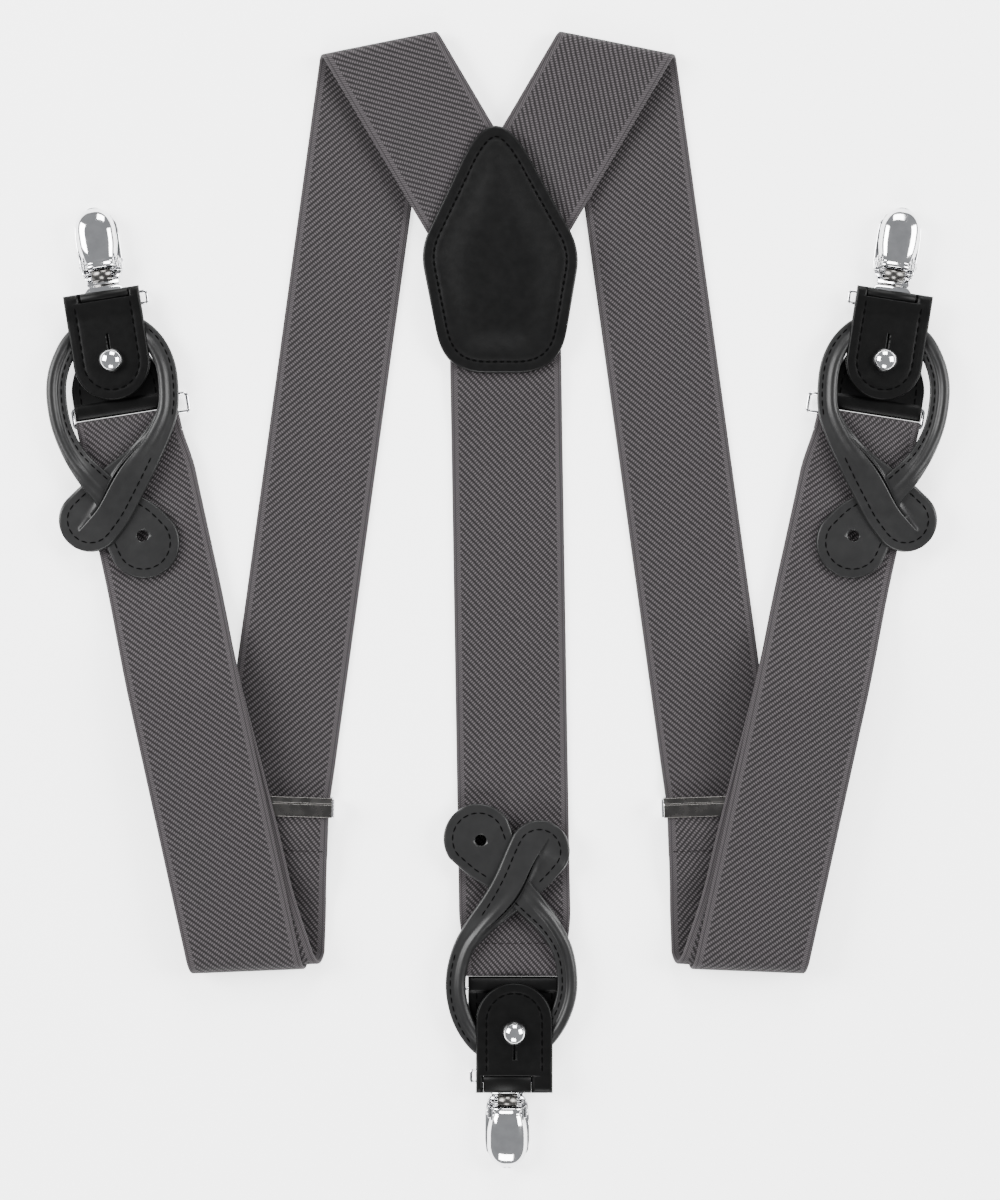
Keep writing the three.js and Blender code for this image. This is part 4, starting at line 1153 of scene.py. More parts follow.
class Patch:
    """The leather patch over the back crossing, front and back leaf."""

    CENTRE = (0.95, 111.0)
    CORNERS = ((-2.2, 47.4, 11.6), (-25.4, -1.4, 20.0), (-17.8, -39.8, 16.0), (18.4, -39.8, 16.0),
               (24.9, -1.4, 20.0))
    LEATHER, INSET = 1.2, 3.5
    RINGS = (0.5, 1.0, 1.8, 2.5, 3.0, 3.5, 4.0, 4.6, 5.4, 6.4, 7.6, 9.0, 10.5, 12.5, 14.5)

    def __init__(self, sewing: StitchTree) -> None:
        """Work out the outline."""
        self.sewing = sewing
        cx, cy = self.CENTRE
        self.outline = rounded([(x + cx, y + cy, r) for x, y, r in self.CORNERS])

    def under(self, x: float, y: float, d: float) -> float:
        """Height of the front leaf's lower face, which settles over the back strap."""
        return LAYER_Z["leaf"] - 2.7 * smooth((self.CENTRE[1] - 16 - y) / 24)

    def over(self, x: float, y: float, d: float) -> float:
        """Height of the upper face: a flat lip, a sewn groove and a crowned middle."""
        crown = 1.2 * smooth((d - 3.7) / 11.5)
        groove = 0.22 * math.exp(-((d - self.INSET) / 0.55) ** 2)
        return self.under(x, y, d) + self.LEATHER + crown - groove

    def build(self) -> None:
        """Make both leaves and their stitches."""
        front = plate(self.outline, self.CENTRE, self.over, self.under, insets=self.RINGS)
        piece("patch_front_leaf", front, Finish.PATCH, "straps", ("patch_front",))
        back = plate(self.outline, self.CENTRE, lambda x, y, d: 1.3, lambda x, y, d: 0.1)
        piece("patch_back_leaf", back, Finish.PATCH, "straps", ("patch_back",))
        line = inset(self.outline, self.INSET, self.CENTRE)
        line.append(line[0])
        upper = [(x, y, self.over(x, y, self.INSET) + 0.03) for x, y in line]
        self.sewing.sew("patch_stitches", [upper], Finish.THREAD, "straps", 2.15, 1.6, 0.6)


# ---------------------------------------------------------------------------------------------
# Adjuster slide
# ---------------------------------------------------------------------------------------------
class Adjuster:
    """The stamped slide that the return strap is sewn to."""

    CREASE = (0.95, 1.25)

    def build(self, side: str, frame_at: Matrix) -> None:
        """Make one slide."""
        half, tall = SLIDE.width / 2, SLIDE.tall / 2
        inner = half - SLIDE.rail + 0.3
        z0, z1 = SLIDE.plate
        low, high = self.CREASE
        parts = [block(-inner, inner, -tall, low, z0, z1), block(-inner, inner, high, tall, z0, z1),
                 block(-inner + 0.2, inner - 0.2, low - 0.15, high + 0.15, z0 + 0.1, z1 - 0.35)]
        for y0, y1, b0, b1 in (SLIDE.top_bar, SLIDE.loop_bar):
            parts.append(block(-inner, inner, y0, y1, b0, b1))
        body = Shape()
        for part in parts:
            body.add(part)
        piece(f"{side}_slide_plate", body.moved(frame_at), Finish.NICKEL, f"{side}_slide",
              (f"{side}_adjuster",), bevel=0.22)
        ends = Shape()
        for s in (-1, 1):
            x0, x1 = sorted((s * half, s * (half - SLIDE.rail)))
            ends.add(block(x0, x1, -tall, tall, 0.15, z1))
        piece(f"{side}_slide_ends", ends.moved(frame_at), Finish.CHROME, f"{side}_slide", bevel=0.35)


# ---------------------------------------------------------------------------------------------
# Clip ends, in their own frame: origin at the webbing ring's middle, y towards the clip
# ---------------------------------------------------------------------------------------------
def slab(us: Sequence[float], columns: Sequence[float], place: Callable[[float, float], SlabPoint],
         present: Callable[[int, int], bool] = lambda i, j: True) -> Shape:
    """A slab over a grid, some of whose cells may be missing.

    Args:
        us: the rows' places.
        columns: the columns' places.
        place: gives x, y, the top's and the bottom's height at a row and column.
        present: whether the cell after row i and column j is there.

    Returns:
        The closed slab.
    """
    grid = [[place(u, c) for c in columns] for u in us]
    wide = len(columns)
    count = len(us) * wide
    upper = [(x, y, top) for row in grid for x, y, top, _ in row]
    lower = [(x, y, bottom) for row in grid for x, y, _, bottom in row]
    shape = Shape(upper + lower)
    there = {(i, j) for i in range(len(us) - 1) for j in range(wide - 1) if present(i, j)}
    for i, j in there:
        a, b, c, d = i * wide + j, i * wide + j + 1, (i + 1) * wide + j + 1, (i + 1) * wide + j
        shape.faces += [(a, b, c, d), (d + count, c + count, b + count, a + count)]
        for p, q, other in ((a, b, (i - 1, j)), (b, c, (i, j + 1)), (c, d, (i + 1, j)), (d, a, (i, j - 1))):
            if other not in there:
                shape.faces.append((q, p, p + count, q + count))
    return shape


def round_rim(distance: float, size: float) -> float:
    """How full a rounded rim is at a distance from the edge, 0 to 1."""
    return math.sqrt(max(0.0, 1 - (1 - min(max(distance, 0.0) / size, 1.0)) ** 2))


def rod(radius: float, x0: float, x1: float, y: float, z: float, dome: float = 0.0) -> Shape:
    """A rod along X whose ends may be domed."""
    sides = 24
    ends = [(0.0, 1.0)]
    if dome:
        ends = [(math.cos(a) * dome, math.sin(a)) for a in (0.3, 0.7, 1.1, math.pi / 2)]
    stops = [(x0 - e, r) for e, r in ends] + [(x1 + e, r) for e, r in reversed(ends)]
    rows = []
    for x, r in stops:
        turn = [2 * math.pi * k / sides for k in range(sides)]
        rows.append([(x, y + radius * r * math.cos(a), z + radius * r * math.sin(a)) for a in turn])
    return loft(rows)


def strip(path: Sequence[Flat], x0: float, x1: float, thick: float) -> Shape:
    """A flat strip from x0 to x1, which follows a path of (y, z) points."""
    rows = []
    for i, (y, z) in enumerate(path):
        before, after = path[max(i - 1, 0)], path[min(i + 1, len(path) - 1)]
        t = Vector((after[0] - before[0], after[1] - before[1])).normalized()
        n = Vector((-t.y, t.x)) * (thick / 2)
        upper, lower = (y + n.x, z + n.y), (y - n.x, z - n.y)
        rows.append([(x0, *upper), (x1, *upper), (x1, *lower), (x0, *lower)])
    return loft(rows)


def wire_ring(length: float, height: float, wire: float, x: float, y: float) -> Shape:
    """A bent wire ring with rounded corners."""
    bend, a, b = wire * 0.85, length / 2 - wire / 2, height / 2 - wire / 2
    path: list[Flat] = []
    for sx, sy, start in ((1, 1, 0), (-1, 1, 90), (-1, -1, 180), (1, -1, 270)):
        corner = Vector((sx * (a - bend), sy * (b - bend)))
        path += [tuple(corner + unit(t) * bend) for t in spread(start, start + 90, 8)]
    full: list[Flat] = []
    for p, q in zip(path, [*path[1:], path[0]]):
        full.append(p)
        gap = (Vector(q) - Vector(p)).length
        full += [tuple(Vector(p).lerp(Vector(q), k / 8)) for k in range(1, 8) if gap > 2]
    rows = []
    for i, p in enumerate(full):
        t = (Vector(full[(i + 1) % len(full)]) - Vector(full[i - 1])).normalized()
        row = []
        for k in range(14):
            angle = 2 * math.pi * k / 14
            out, up = wire / 2 * math.cos(angle), wire / 2 * math.sin(angle)
            row.append((p[0] - t.y * out + x, p[1] + t.x * out + y, WIRE_Z + up))
        rows.append(row)
    return loft(rows, ring=True)


@dataclass(frozen=True)
class EndSize:
    """Sizes that all three ends share."""

    ring: tuple[float, float, float] = (37.6, 7.0, 1.2)
    tab_ring: tuple[float, float, float] = (25.0, 4.7, 1.0)
    tab_ring_y: float = 34.7
    loop_leather: float = 0.8
    connector_wide: float = 29.0
    connector_narrow: float = 18.4
    tab_width: float = 24.0
    tab_round: float = 3.6
    tab_low: float = 5.1
    tab_high: float = 7.1
    stud_y: float = 16.1
    stud_ball: float = 7.5
    bar_y: float = 36.3
    bar_z: float = 6.1
    pin_y: float = 46.6
    pin_z: float = 4.6
    tip: float = 64.9
    sheet: float = 0.7
    ear_outer: float = 6.1


END = EndSize()


@dataclass(frozen=True)
class EndLayout:
    """How one end's pieces lie.

    Attributes:
        side: left, right or back.
        tab: the tab's middle across the end.
        clip: the clip's middle.
        slack: how far the tab has slipped along the connector.
        pull: how deep the clip's bar sits in the tab's fold.
        nearer: how much closer the tab ring is to the webbing ring.
        left: stations of the button loop's left strip (x, y, z, half width, roll, tilt).
        right: stations of its right strip.
        hole: centre of the buttonhole, in the left strip's ear.
    """

    side: str
    tab: float
    clip: float
    slack: float
    pull: float
    nearer: float
    left: tuple[tuple[float, ...], ...]
    right: tuple[tuple[float, ...], ...]
    hole: Flat


FRONT_LEFT = (
    (-6.0, 27.2, 4.6, 2.9, 0.0, 0.0), (-13.5, 24.6, 4.8, 3.1, 0.5, 0.0),
    (-18.4, 18.6, 5.1, 3.15, 1.0, 0.0), (-21.2, 12.0, 5.2, 3.15, 1.0, 0.0),
    (-22.1, 4.5, 5.2, 3.15, 1.0, 0.0), (-21.5, -3.5, 5.3, 3.15, 1.0, 0.0),
    (-19.0, -11.5, 6.0, 3.5, 0.9, 0.0), (-15.0, -18.6, 6.9, 4.3, 0.45, 0.0),
    (-9.9, -26.0, 5.6, 5.4, 0.1, 0.0), (-5.4, -34.5, 5.0, 9.6, 0.0, 0.0),
    (-2.0, -41.6, 4.95, 11.3, 0.0, 0.0),
)
FRONT_RIGHT = (
    (2.0, 27.4, 4.6, 2.9, 0.0, 0.0), (7.0, 24.8, 4.8, 3.1, 0.5, 0.0),
    (11.2, 19.4, 5.1, 3.15, 1.0, 0.0), (13.3, 12.5, 5.2, 3.15, 1.0, 0.0),
    (13.2, 5.0, 5.2, 3.15, 1.0, 0.0), (11.6, -2.5, 5.5, 3.3, 1.0, 0.0),
    (7.2, -9.6, 6.2, 4.1, 0.8, 0.0), (1.2, -16.4, 6.8, 5.6, 0.35, 0.05),
    (-5.6, -22.6, 6.9, 7.6, 0.1, 0.12), (-11.8, -27.8, 6.4, 9.4, 0.0, 0.1),
    (-17.2, -32.2, 5.9, 10.0, 0.0, 0.03),
)
BACK_LEFT = (
    (-2.0, 22.4, 4.6, 2.9, 0.0, 0.0), (-7.6, 19.6, 4.8, 3.1, 0.5, 0.0),
    (-12.6, 13.4, 5.1, 3.15, 1.0, 0.0), (-15.6, 5.8, 5.2, 3.15, 1.0, 0.0),
    (-16.1, -1.5, 5.2, 3.15, 1.0, 0.0), (-14.6, -9.5, 5.4, 3.2, 1.0, 0.0),
    (-10.6, -17.0, 6.2, 3.6, 0.9, 0.0), (-5.0, -23.6, 6.9, 4.3, 0.45, 0.0),
    (1.4, -30.6, 5.6, 5.4, 0.1, 0.0), (7.4, -38.2, 5.0, 9.0, 0.0, 0.0),
    (11.7, -44.4, 4.95, 11.0, 0.0, 0.0),
)
BACK_RIGHT = (
    (6.4, 22.6, 4.6, 2.9, 0.0, 0.0), (11.6, 19.8, 4.8, 3.1, 0.5, 0.0),
    (16.2, 13.2, 5.1, 3.15, 1.0, 0.0), (18.6, 5.2, 5.2, 3.15, 1.0, 0.0),
    (18.6, -2.6, 5.2, 3.15, 1.0, 0.0), (16.2, -10.6, 5.5, 3.3, 1.0, 0.0),
    (11.4, -17.4, 6.2, 4.1, 0.8, 0.0), (5.6, -23.8, 6.8, 5.4, 0.35, 0.05),
    (0.2, -30.0, 6.9, 7.2, 0.1, 0.12), (-4.2, -36.0, 6.4, 8.8, 0.0, 0.1),
    (-7.3, -40.7, 5.9, 9.6, 0.0, 0.03),
)
LEFT_END = EndLayout("left", -3.0, -2.0, 0.0, 0.0, 0.0, FRONT_LEFT, FRONT_RIGHT, (-2.0, -39.6))
RIGHT_END = replace(LEFT_END, side="right")
BACK_END = EndLayout("back", 0.5, 2.7, -3.1, 2.5, 4.3, BACK_LEFT, BACK_RIGHT, (11.0, -44.0))


class LeatherStrip:
    """One strip of a button loop: a rolled arm with a sewn flange that flattens into an ear."""

    ROLL, FLANGE, FLAT = 1.7, 0.72, 0.85

    def __init__(self, stations: Sequence[Sequence[float]], roll_side: int,
                 slit: Flat | None = None) -> None:
        """Measure the strip along its middle.

        Args:
            stations: x, y, z, half width, roll and tilt at each.
            roll_side: the side of the strip that is rolled, 1 or -1.
            slit: where along the strip, from 0 to 1, it is slit, or None.
        """
        self.stations = stations
        self.roll_side = roll_side
        self.samples = [catmull(stations, t) for t in spread(0, 1, 400)]
        self.lengths = [0.0]
        for p, q in zip(self.samples, self.samples[1:]):
            self.lengths.append(self.lengths[-1] + math.dist(p[:2], q[:2]))
        self.body = self.lengths[-1]
        self.radius = self.samples[-1][3]
        self.total = self.body + self.radius
        a, b = self.samples[-12], self.samples[-1]
        self.heading = Vector((b[0] - a[0], b[1] - a[1])).normalized()
        self.slit = None if slit is None else (slit[0] * self.body, slit[1] * self.body)

    def frame(self, s: float) -> tuple[Vector, Vector, float, float, float, float]:
        """Middle, sideways direction, height, half width, roll and tilt at a length s."""
        if s >= self.body:
            last = self.samples[-1]
            past = s - self.body
            at = Vector(last[:2]) + self.heading * past
            half = self.radius * math.sqrt(max(0.0, 1 - (past / self.radius) ** 2))
            side = Vector((-self.heading.y, self.heading.x))
            return at, side, last[2] - 0.03 * past, half, last[4], last[5]
        lo = min(max(bisect_right(self.lengths, s) - 1, 0), len(self.samples) - 2)
        f = (s - self.lengths[lo]) / max(self.lengths[lo + 1] - self.lengths[lo], 1e-9)
        p, q = self.samples[lo], self.samples[lo + 1]
        now = [a + (b - a) * f for a, b in zip(p, q)]
        before, after = self.samples[max(lo - 6, 0)], self.samples[min(lo + 7, len(self.samples) - 1)]
        t = Vector((after[0] - before[0], after[1] - before[1])).normalized()
        return Vector(now[:2]), Vector((-t.y, t.x)), now[2], now[3], now[4], now[5]

    def surface(self, s: float, v: float) -> SlabPoint:
        """x, y, top and bottom height at s along and v sideways, to the left of the strip's heading."""
        at, side, z, half, roll, tilt = self.frame(s)
        rim = round_rim(half - abs(v), 0.55)
        if s > self.body:
            rim = min(rim, round_rim(self.total - s, 0.55))
        where = v * self.roll_side - (3.15 - self.ROLL)
        tube = math.sqrt(max(0.0, self.ROLL ** 2 - where ** 2))
        seam = 0.16 * math.exp(-((v * self.roll_side + 0.55) / 0.3) ** 2)
        rolled = max(tube, self.FLANGE * rim) - seam * (tube < 0.8)
        flat = self.FLAT * rim
        thick = max(0.03, rolled * roll + flat * (1 - roll))
        z += tilt * -v
        if self.slit and self.slit[0] - 6 < s < self.slit[1] + 6:
            start, end = self.slit
            near = smooth((s - start + 6) / 10) * (1 - smooth((s - end + 4) / 10))
            edge = self.slit_at(s)
            z += near * (0.5 if v > edge else -1.7 * smooth((edge - v) / 1.2))
        x, y = at + side * v
        return x, y, z + thick, z - thick

    def slit_at(self, s: float) -> float:
        """Sideways place of the slit, which runs from the neck's upper side to the ear's middle."""
        start, end = self.slit
        half = self.frame(s)[3]
        t = smooth((s - start) / (end - start))
        return -(half - 1.9) * (1 - t) - 0.4 * t

    def shape(self) -> Shape:
        """The closed strip, with its slit open."""
        us = spread(0, self.body, 110)
        us += [self.body + self.radius * math.sin(a) for a in spread(0.05, math.pi / 2 - 0.02, 26)]
        fine = [-1.0, -0.985, -0.95, -0.9, -0.83, -0.74, -0.64, -0.53, -0.42, -0.31, -0.2, -0.1, 0.0]
        columns = fine + [-c for c in reversed(fine[:-1])]
        if self.slit is None:
            return slab(us, columns, lambda s, c: self.surface(s, c * self.frame(s)[3]))
        low = [-1.0, -0.96, -0.88, -0.76, -0.62, -0.46, -0.3, -0.14, 0.0]
        high = [0.0, 0.04, 0.1, 0.18, 0.28, 0.4, 0.52, 0.64, 0.75, 0.84, 0.91, 0.955, 0.985, 1.0]
        marks = [(0, c) for c in low] + [(1, c) for c in high]
        start, end = self.slit
        split = len(low) - 1

        def place(s: float, mark: float) -> SlabPoint:
            """Columns crowd to the slit from both sides."""
            group, c = marks[int(mark)]
            half = self.frame(s)[3]
            edge = self.slit_at(min(max(s, start), end))
            edge = max(min(edge, half * 0.9), -half * 0.9)
            open_ = 0.34 * math.sin(math.pi * min(max((s - start) / (end - start), 0.0), 1.0))
            if group == 0:
                return self.surface(s, (edge - open_) + c * (half + edge - open_))
            return self.surface(s, (edge + open_) + c * (half - edge - open_))

        def there(i: int, j: int) -> bool:
            """The cells of the slit are missing."""
            return not (j == split and start < us[i] < end)

        return slab(us, list(range(len(marks))), place, there)

    def ear_line(self, start: float, depth: float, sides: Flat) -> list[Point]:
        """A stitch line round the ear.

        Args:
            start: where it starts, as a length before the ear's middle.
            depth: its distance from the rim.
            sides: how much earlier it starts on the right and on the left.

        Returns:
            The line on the upper face.
        """
        flat: list[Flat] = []
        first, last = self.body - start - sides[0], self.body - start - sides[1]
        for s in spread(first, self.body, 30):
            flat.append((s, -(self.frame(s)[3] - depth)))
        r = self.radius - depth
        for a in spread(-math.pi / 2 + 0.1, math.pi / 2 - 0.1, 24):
            flat.append((self.body + r * math.cos(a), r * math.sin(a)))
        for s in spread(self.body, last, 30):
            flat.append((s, self.frame(s)[3] - depth))
        out = []
        for s, v in flat:
            x, y, top, _ = self.surface(s, v)
            out.append((x, y, top + 0.02))
        return out

    def arm_line(self, s0: float, s1: float, inset_by: float) -> list[Point]:
        """A stitch line along the arm's flange."""
        out = []
        for s in spread(s0, s1, 40):
            half = self.frame(s)[3]
            x, y, top, _ = self.surface(s, -self.roll_side * (half - inset_by))
            out.append((x, y, top + 0.02))
        return out


def cut_with(obj: bpy.types.Object, tools: Sequence[Shape]) -> None:
    """Cut shapes out of an object, and leave it a plain mesh."""
    for i, shape in enumerate(tools):
        mesh = bpy.data.meshes.new(f"{obj.name}_cutter")
        mesh.from_pydata([tuple(c * MM for c in p) for p in shape.points], [], shape.faces)
        face_outwards(mesh)
        cutter = bpy.data.objects.new(mesh.name, mesh)
        bpy.context.scene.collection.objects.link(cutter)
        knife = obj.modifiers.new(f"cut_{i}", "BOOLEAN")
        knife.operation = "DIFFERENCE"
        knife.solver = "EXACT"
        knife.object = cutter
        graph = bpy.context.evaluated_depsgraph_get()
        done = bpy.data.meshes.new_from_object(obj.evaluated_get(graph))
        obj.modifiers.clear()
        obj.data = done
        bpy.data.objects.remove(cutter)


class ClipEnd:
    """One whole end: rings, connector, tab, stud, button loop and clip."""

    NOTCH = 7.5

    def __init__(self, layout: EndLayout, matrix: Matrix, sewing: StitchTree) -> None:
        """Keep the end's layout and where it goes."""
        self.layout = layout
        self.matrix = matrix
        self.sewing = sewing
        self.ring_y = END.tab_ring_y - layout.nearer

    def put(self, name: str, shape: Shape, finish: Finish, body: str | None = "straps",
            nodes: Iterable[str] = (), **options: float) -> bpy.types.Object:
        """Place a piece of this end in space."""
        side = self.layout.side
        names = tuple(f"{side}_{n}" for n in nodes)
        return piece(f"{side}_{name}", shape.moved(self.matrix), finish, body, names, **options)

    def sew(self, name: str, lines: Sequence[Sequence[Point]], body: str, **options: float) -> None:
        """Sew stitches on this end."""
        moved = [[tuple(self.matrix @ Vector(p)) for p in line] for line in lines]
        self.sewing.sew(f"{self.layout.side}_{name}", moved, Finish.THREAD, body, **options)

    def build(self) -> None:
        """Make every piece."""
        self.rings()
        self.connector()
        self.tab()
        self.stud()
        self.button_loop()
        self.clip()

    def rings(self) -> None:
        """The webbing ring and the tab ring."""
        length, height, wire = END.ring
        shape = wire_ring(length, height, wire, 0, 0)
        self.put("webbing_wire", shape, Finish.CHROME, nodes=("webbing_ring",))
        length, height, wire = END.tab_ring
        shape = wire_ring(length, height, wire, self.layout.tab + 1.6, self.ring_y)
        self.put("tab_wire", shape, Finish.CHROME, nodes=("tab_ring",))

    def connector(self) -> None:
        """The leather strip folded round both rings."""
        x0 = self.layout.tab
        low = END.ring[1] / 2 - END.ring[2] / 2
        high = self.ring_y - (END.tab_ring[1] / 2 - END.tab_ring[2] / 2)
        radii = [(low, END.ring[2] / 2 + WIRE_CLEARANCE + END.loop_leather),
                 (high, END.tab_ring[2] / 2 + WIRE_CLEARANCE + END.loop_leather)]
        # The leather starts about 2.3 mm below its wrap round the webbing ring's bar: a flat dark flap over
        # the gap inside the ring, standing in for the shade there.
        start, end = -0.92, high + radii[1][1]

        def half(y: float) -> float:
            """Half width along the connector."""
            wide, narrow = END.connector_wide / 2, END.connector_narrow / 2
            return wide + (narrow - wide) * smooth((y - low - 4.5) / 17)

        def place(y: float, c: float) -> SlabPoint:
            """The folded leather, fuller round each ring."""
            body = 1.0 if low < y < high else 0.02
            rise = [math.sqrt(max(0.0, r * r - (y - at) ** 2)) for at, r in radii]
            slack = 0.0
            # Below the bar the fold is real round the wire, and past it a flattened flap of painted shade.
            if y < low:
                slack = radii[0][1] * math.sqrt(max(0.0, 1 - ((low - y) / (low - start)) ** 2))
            tall = max(body, *rise, slack)
            h = half(y)
            tall *= max(round_rim(h - abs(c * h), 0.45), 0.06)
            return x0 + c * h, y, WIRE_Z + tall, WIRE_Z - tall

        rows = [low - (low - start) * math.cos(a) for a in spread(0.02, math.pi / 2, 12)]
        rows += spread(low + 0.15, low + 1.6, 6) + spread(low + 2.4, high - 2.4, 40)
        rows += spread(high - 1.6, high - 0.15, 6)
        rows += [high + radii[1][1] * math.sin(a) for a in spread(0, math.pi / 2 - 0.02, 10)]
        cols = [-1.0, -0.985, -0.96, -0.9, -0.75, -0.5, -0.25, 0, 0.25, 0.5, 0.75, 0.9, 0.96, 0.985, 1.0]
        self.put("connector_leather", slab(rows, cols, place), Finish.TAB, nodes=("connector",))
        sewn = spread(low + 2.2, end - 4.5, 40)
        lines = [[(x0 + s * (half(y) - 2.7), y, WIRE_Z + 1.02) for y in sewn] for s in (-1, 1)]
        self.sew("connector_stitches", lines, "straps", pitch=2.8, length=2.2, thickness=0.5)

    def tab(self) -> None:
        """The folded tab with its round end, stitches and key slit."""
        lay = self.layout
        half = END.tab_width / 2
        centre = END.tab_round + lay.slack + half
        bar_y = END.bar_y + lay.slack - lay.pull
        end_y = END.bar_y + lay.slack
        shift, notch, wall = lay.clip - lay.tab, bar_y - 1.3, 1.8
        mid = (END.tab_low + END.tab_high) / 2

        def reach(y: float) -> float:
            """Half width, which rounds off below the stud."""
            return half if y >= centre else math.sqrt(max(0.0004, half * half - (centre - y) ** 2))

        def surface(x: float, y: float) -> SlabPoint:
            """The folded leather, which swells round the clip's bar."""
            rim = half - (abs(x) if y >= centre else math.hypot(x, y - centre))
            swell = 1.0 + (wall - 1.0) * smooth((y - bar_y + 7) / 5.5)
            past = max(0.0, y - end_y)
            thick = math.sqrt(max(0.004, swell * swell - past * past))
            if y > notch:
                rim = min(rim, max(0.02, abs(x - shift) - self.NOTCH))
            lean = 0.12 * smooth(rim / 4)
            groove = 0.16 * math.exp(-((rim - 3.3) / 0.5) ** 2) if y < notch - 2 else 0.0
            full = max(0.08, round_rim(rim, 0.55))
            return lay.tab + x, y, mid + thick * full + lean - groove, mid - thick * full

        marks = [-1.0, -0.99, -0.97, -0.94, -0.9, -0.84, -0.79, -0.755, -0.725, -0.7, -0.68, -0.65]
        left_edge, right_edge = (shift - self.NOTCH) / half, (shift + self.NOTCH) / half
        marks += spread(-0.55, 0.5, 14) + [-m for m in reversed(marks)]
        clear = {m for m in marks if min(abs(m - left_edge), abs(m - right_edge)) > 0.012}
        columns = sorted(clear | {left_edge, right_edge})
        rows = [centre - half * math.cos(a) for a in spread(0.02, math.pi / 2, 44)]
        rows += spread(centre + 0.8, notch - 0.3, 26) + [notch, notch + 0.15]
        rows += spread(notch + 0.5, end_y, 8) + [end_y + wall * math.sin(a) for a in spread(0.2, 1.54, 10)]

        def there(i: int, j: int) -> bool:
            """The fold is open where the clip's collar comes out."""
            return not (rows[i] >= notch and left_edge - 1e-6 <= columns[j] < right_edge - 1e-6)

        shape = slab(rows, columns, lambda y, c: surface(c * reach(y), y), there)
        obj = self.put("tab_leather", shape, Finish.TAB, nodes=("clip_tab",))
        y0 = END.stud_y
        key = block(lay.tab - 0.3, lay.tab + 0.3, y0, y0 + 8.4, mid - 0.4, 12)
        cut_with(obj, [key.moved(self.matrix)])
        sewn = half - 3.3
        side = [(sewn, y) for y in spread(notch - 2.2, centre + 0.4, 20)]
        arc = [(x, centre + y) for x, y in (unit(a) * sewn for a in spread(0, -180, 40))]
        line = side + arc + [(-x, y) for x, y in reversed(side)]
        upper = [surface(x, y)[:2] + (surface(x, y)[2] + 0.02,) for x, y in line]
        self.sew("tab_stitches", [upper], "straps", pitch=2.7, length=2.2, thickness=0.52)

    def sleeve(self, move: Matrix) -> None:
        """The leather of the fold that turns with the clip's bar, in the notch."""
        reach = 1.8 + self.layout.pull
        rows = []
        for x in (-self.NOTCH + 0.04, -self.NOTCH + 0.14, self.NOTCH - 0.14, self.NOTCH - 0.04):
            scale = 1.0 if abs(x) < self.NOTCH - 0.1 else 0.95
            turn = [2 * math.pi * k / 40 for k in range(40)]
            rows.append([(x, END.bar_y + scale * math.cos(a) * (reach if math.cos(a) > 0 else 1.75),
                          END.bar_z + scale * 1.78 * math.sin(a)) for a in turn])
        self.put("tab_fold", loft(rows).moved(move), Finish.TAB, f"{self.layout.side}_clip")

    def stud(self) -> None:
        """The ball stud through the tab, and its disc behind the connector."""
        r, z = END.stud_ball / 2, END.tab_high + 0.12
        profile = [(0.02, 0.95), (1.7, 0.95), (1.7, z), (2.6, z), (r - 0.25, z + 0.05), (r, z + 0.35)]
        profile.append((r, z + 0.6))
        for a in spread(0.12, math.pi / 2 - 0.01, 16):
            profile.append((r * math.cos(a), z + 0.6 + 3.05 * math.sin(a)))
        x, y = self.layout.tab, END.stud_y
        self.put("stud_ball", lathe(profile, x, y), Finish.CHROME, nodes=("stud",))
        disc = [(0.02, 0.1), (3.7, 0.1), (4.0, 0.3), (3.9, 0.6), (0.02, 0.7)]
        self.put("stud_disc", lathe(disc, x, y), Finish.NICKEL, nodes=("stud_base",))

    def button_loop(self) -> None:
        """The braided loop with its two ears."""
        lay = self.layout
        under = LeatherStrip(lay.left, -1)
        over = LeatherStrip(lay.right, -1, slit=(0.63, 0.985))
        hole = lathe([(0.01, 0.0), (1.8, 0.0), (1.8, 9.0), (0.01, 9.0)], *lay.hole, steps=32)
        first = self.put("loop_hole_strip", under.shape(), Finish.LOOP, nodes=("button_loop",))
        cut_with(first, [hole.moved(self.matrix)])
        self.put("loop_slit_strip", over.shape(), Finish.LOOP, nodes=("button_loop",))
        self.hook()
        lines = [under.ear_line(2.0, 2.9, (2.0, 8.0)), over.ear_line(2.0, 2.9, (5.0, 24.0))]
        lines += [under.arm_line(9, under.body * 0.72, 1.5), over.arm_line(9, over.body * 0.45, 1.5)]
        self.sew("loop_stitches", lines, "straps", pitch=2.6, length=2.1, thickness=0.42)

    def hook(self) -> None:
        """The loop's middle, which passes under the tab and round the tab ring."""
        lay = self.layout
        wire_at = self.ring_y + END.tab_ring[1] / 2 - END.tab_ring[2] / 2
        wrap = END.tab_ring[2] / 2 + WIRE_CLEARANCE + END.loop_leather / 2
        under_tab = [(self.ring_y - back, 4.2) for back in (9.5, 6, 2.2)] + [(self.ring_y - 0.4, 3.95)]
        turn = [math.radians(a) for a in spread(105, -150, 20)]
        path = under_tab + [(wire_at + wrap * math.cos(a), WIRE_Z + wrap * math.sin(a)) for a in turn]
        shape = strip(path, lay.tab - 5, lay.tab + 5, END.loop_leather)
        self.put("loop_hook", shape, Finish.LOOP, bevel=0.15)

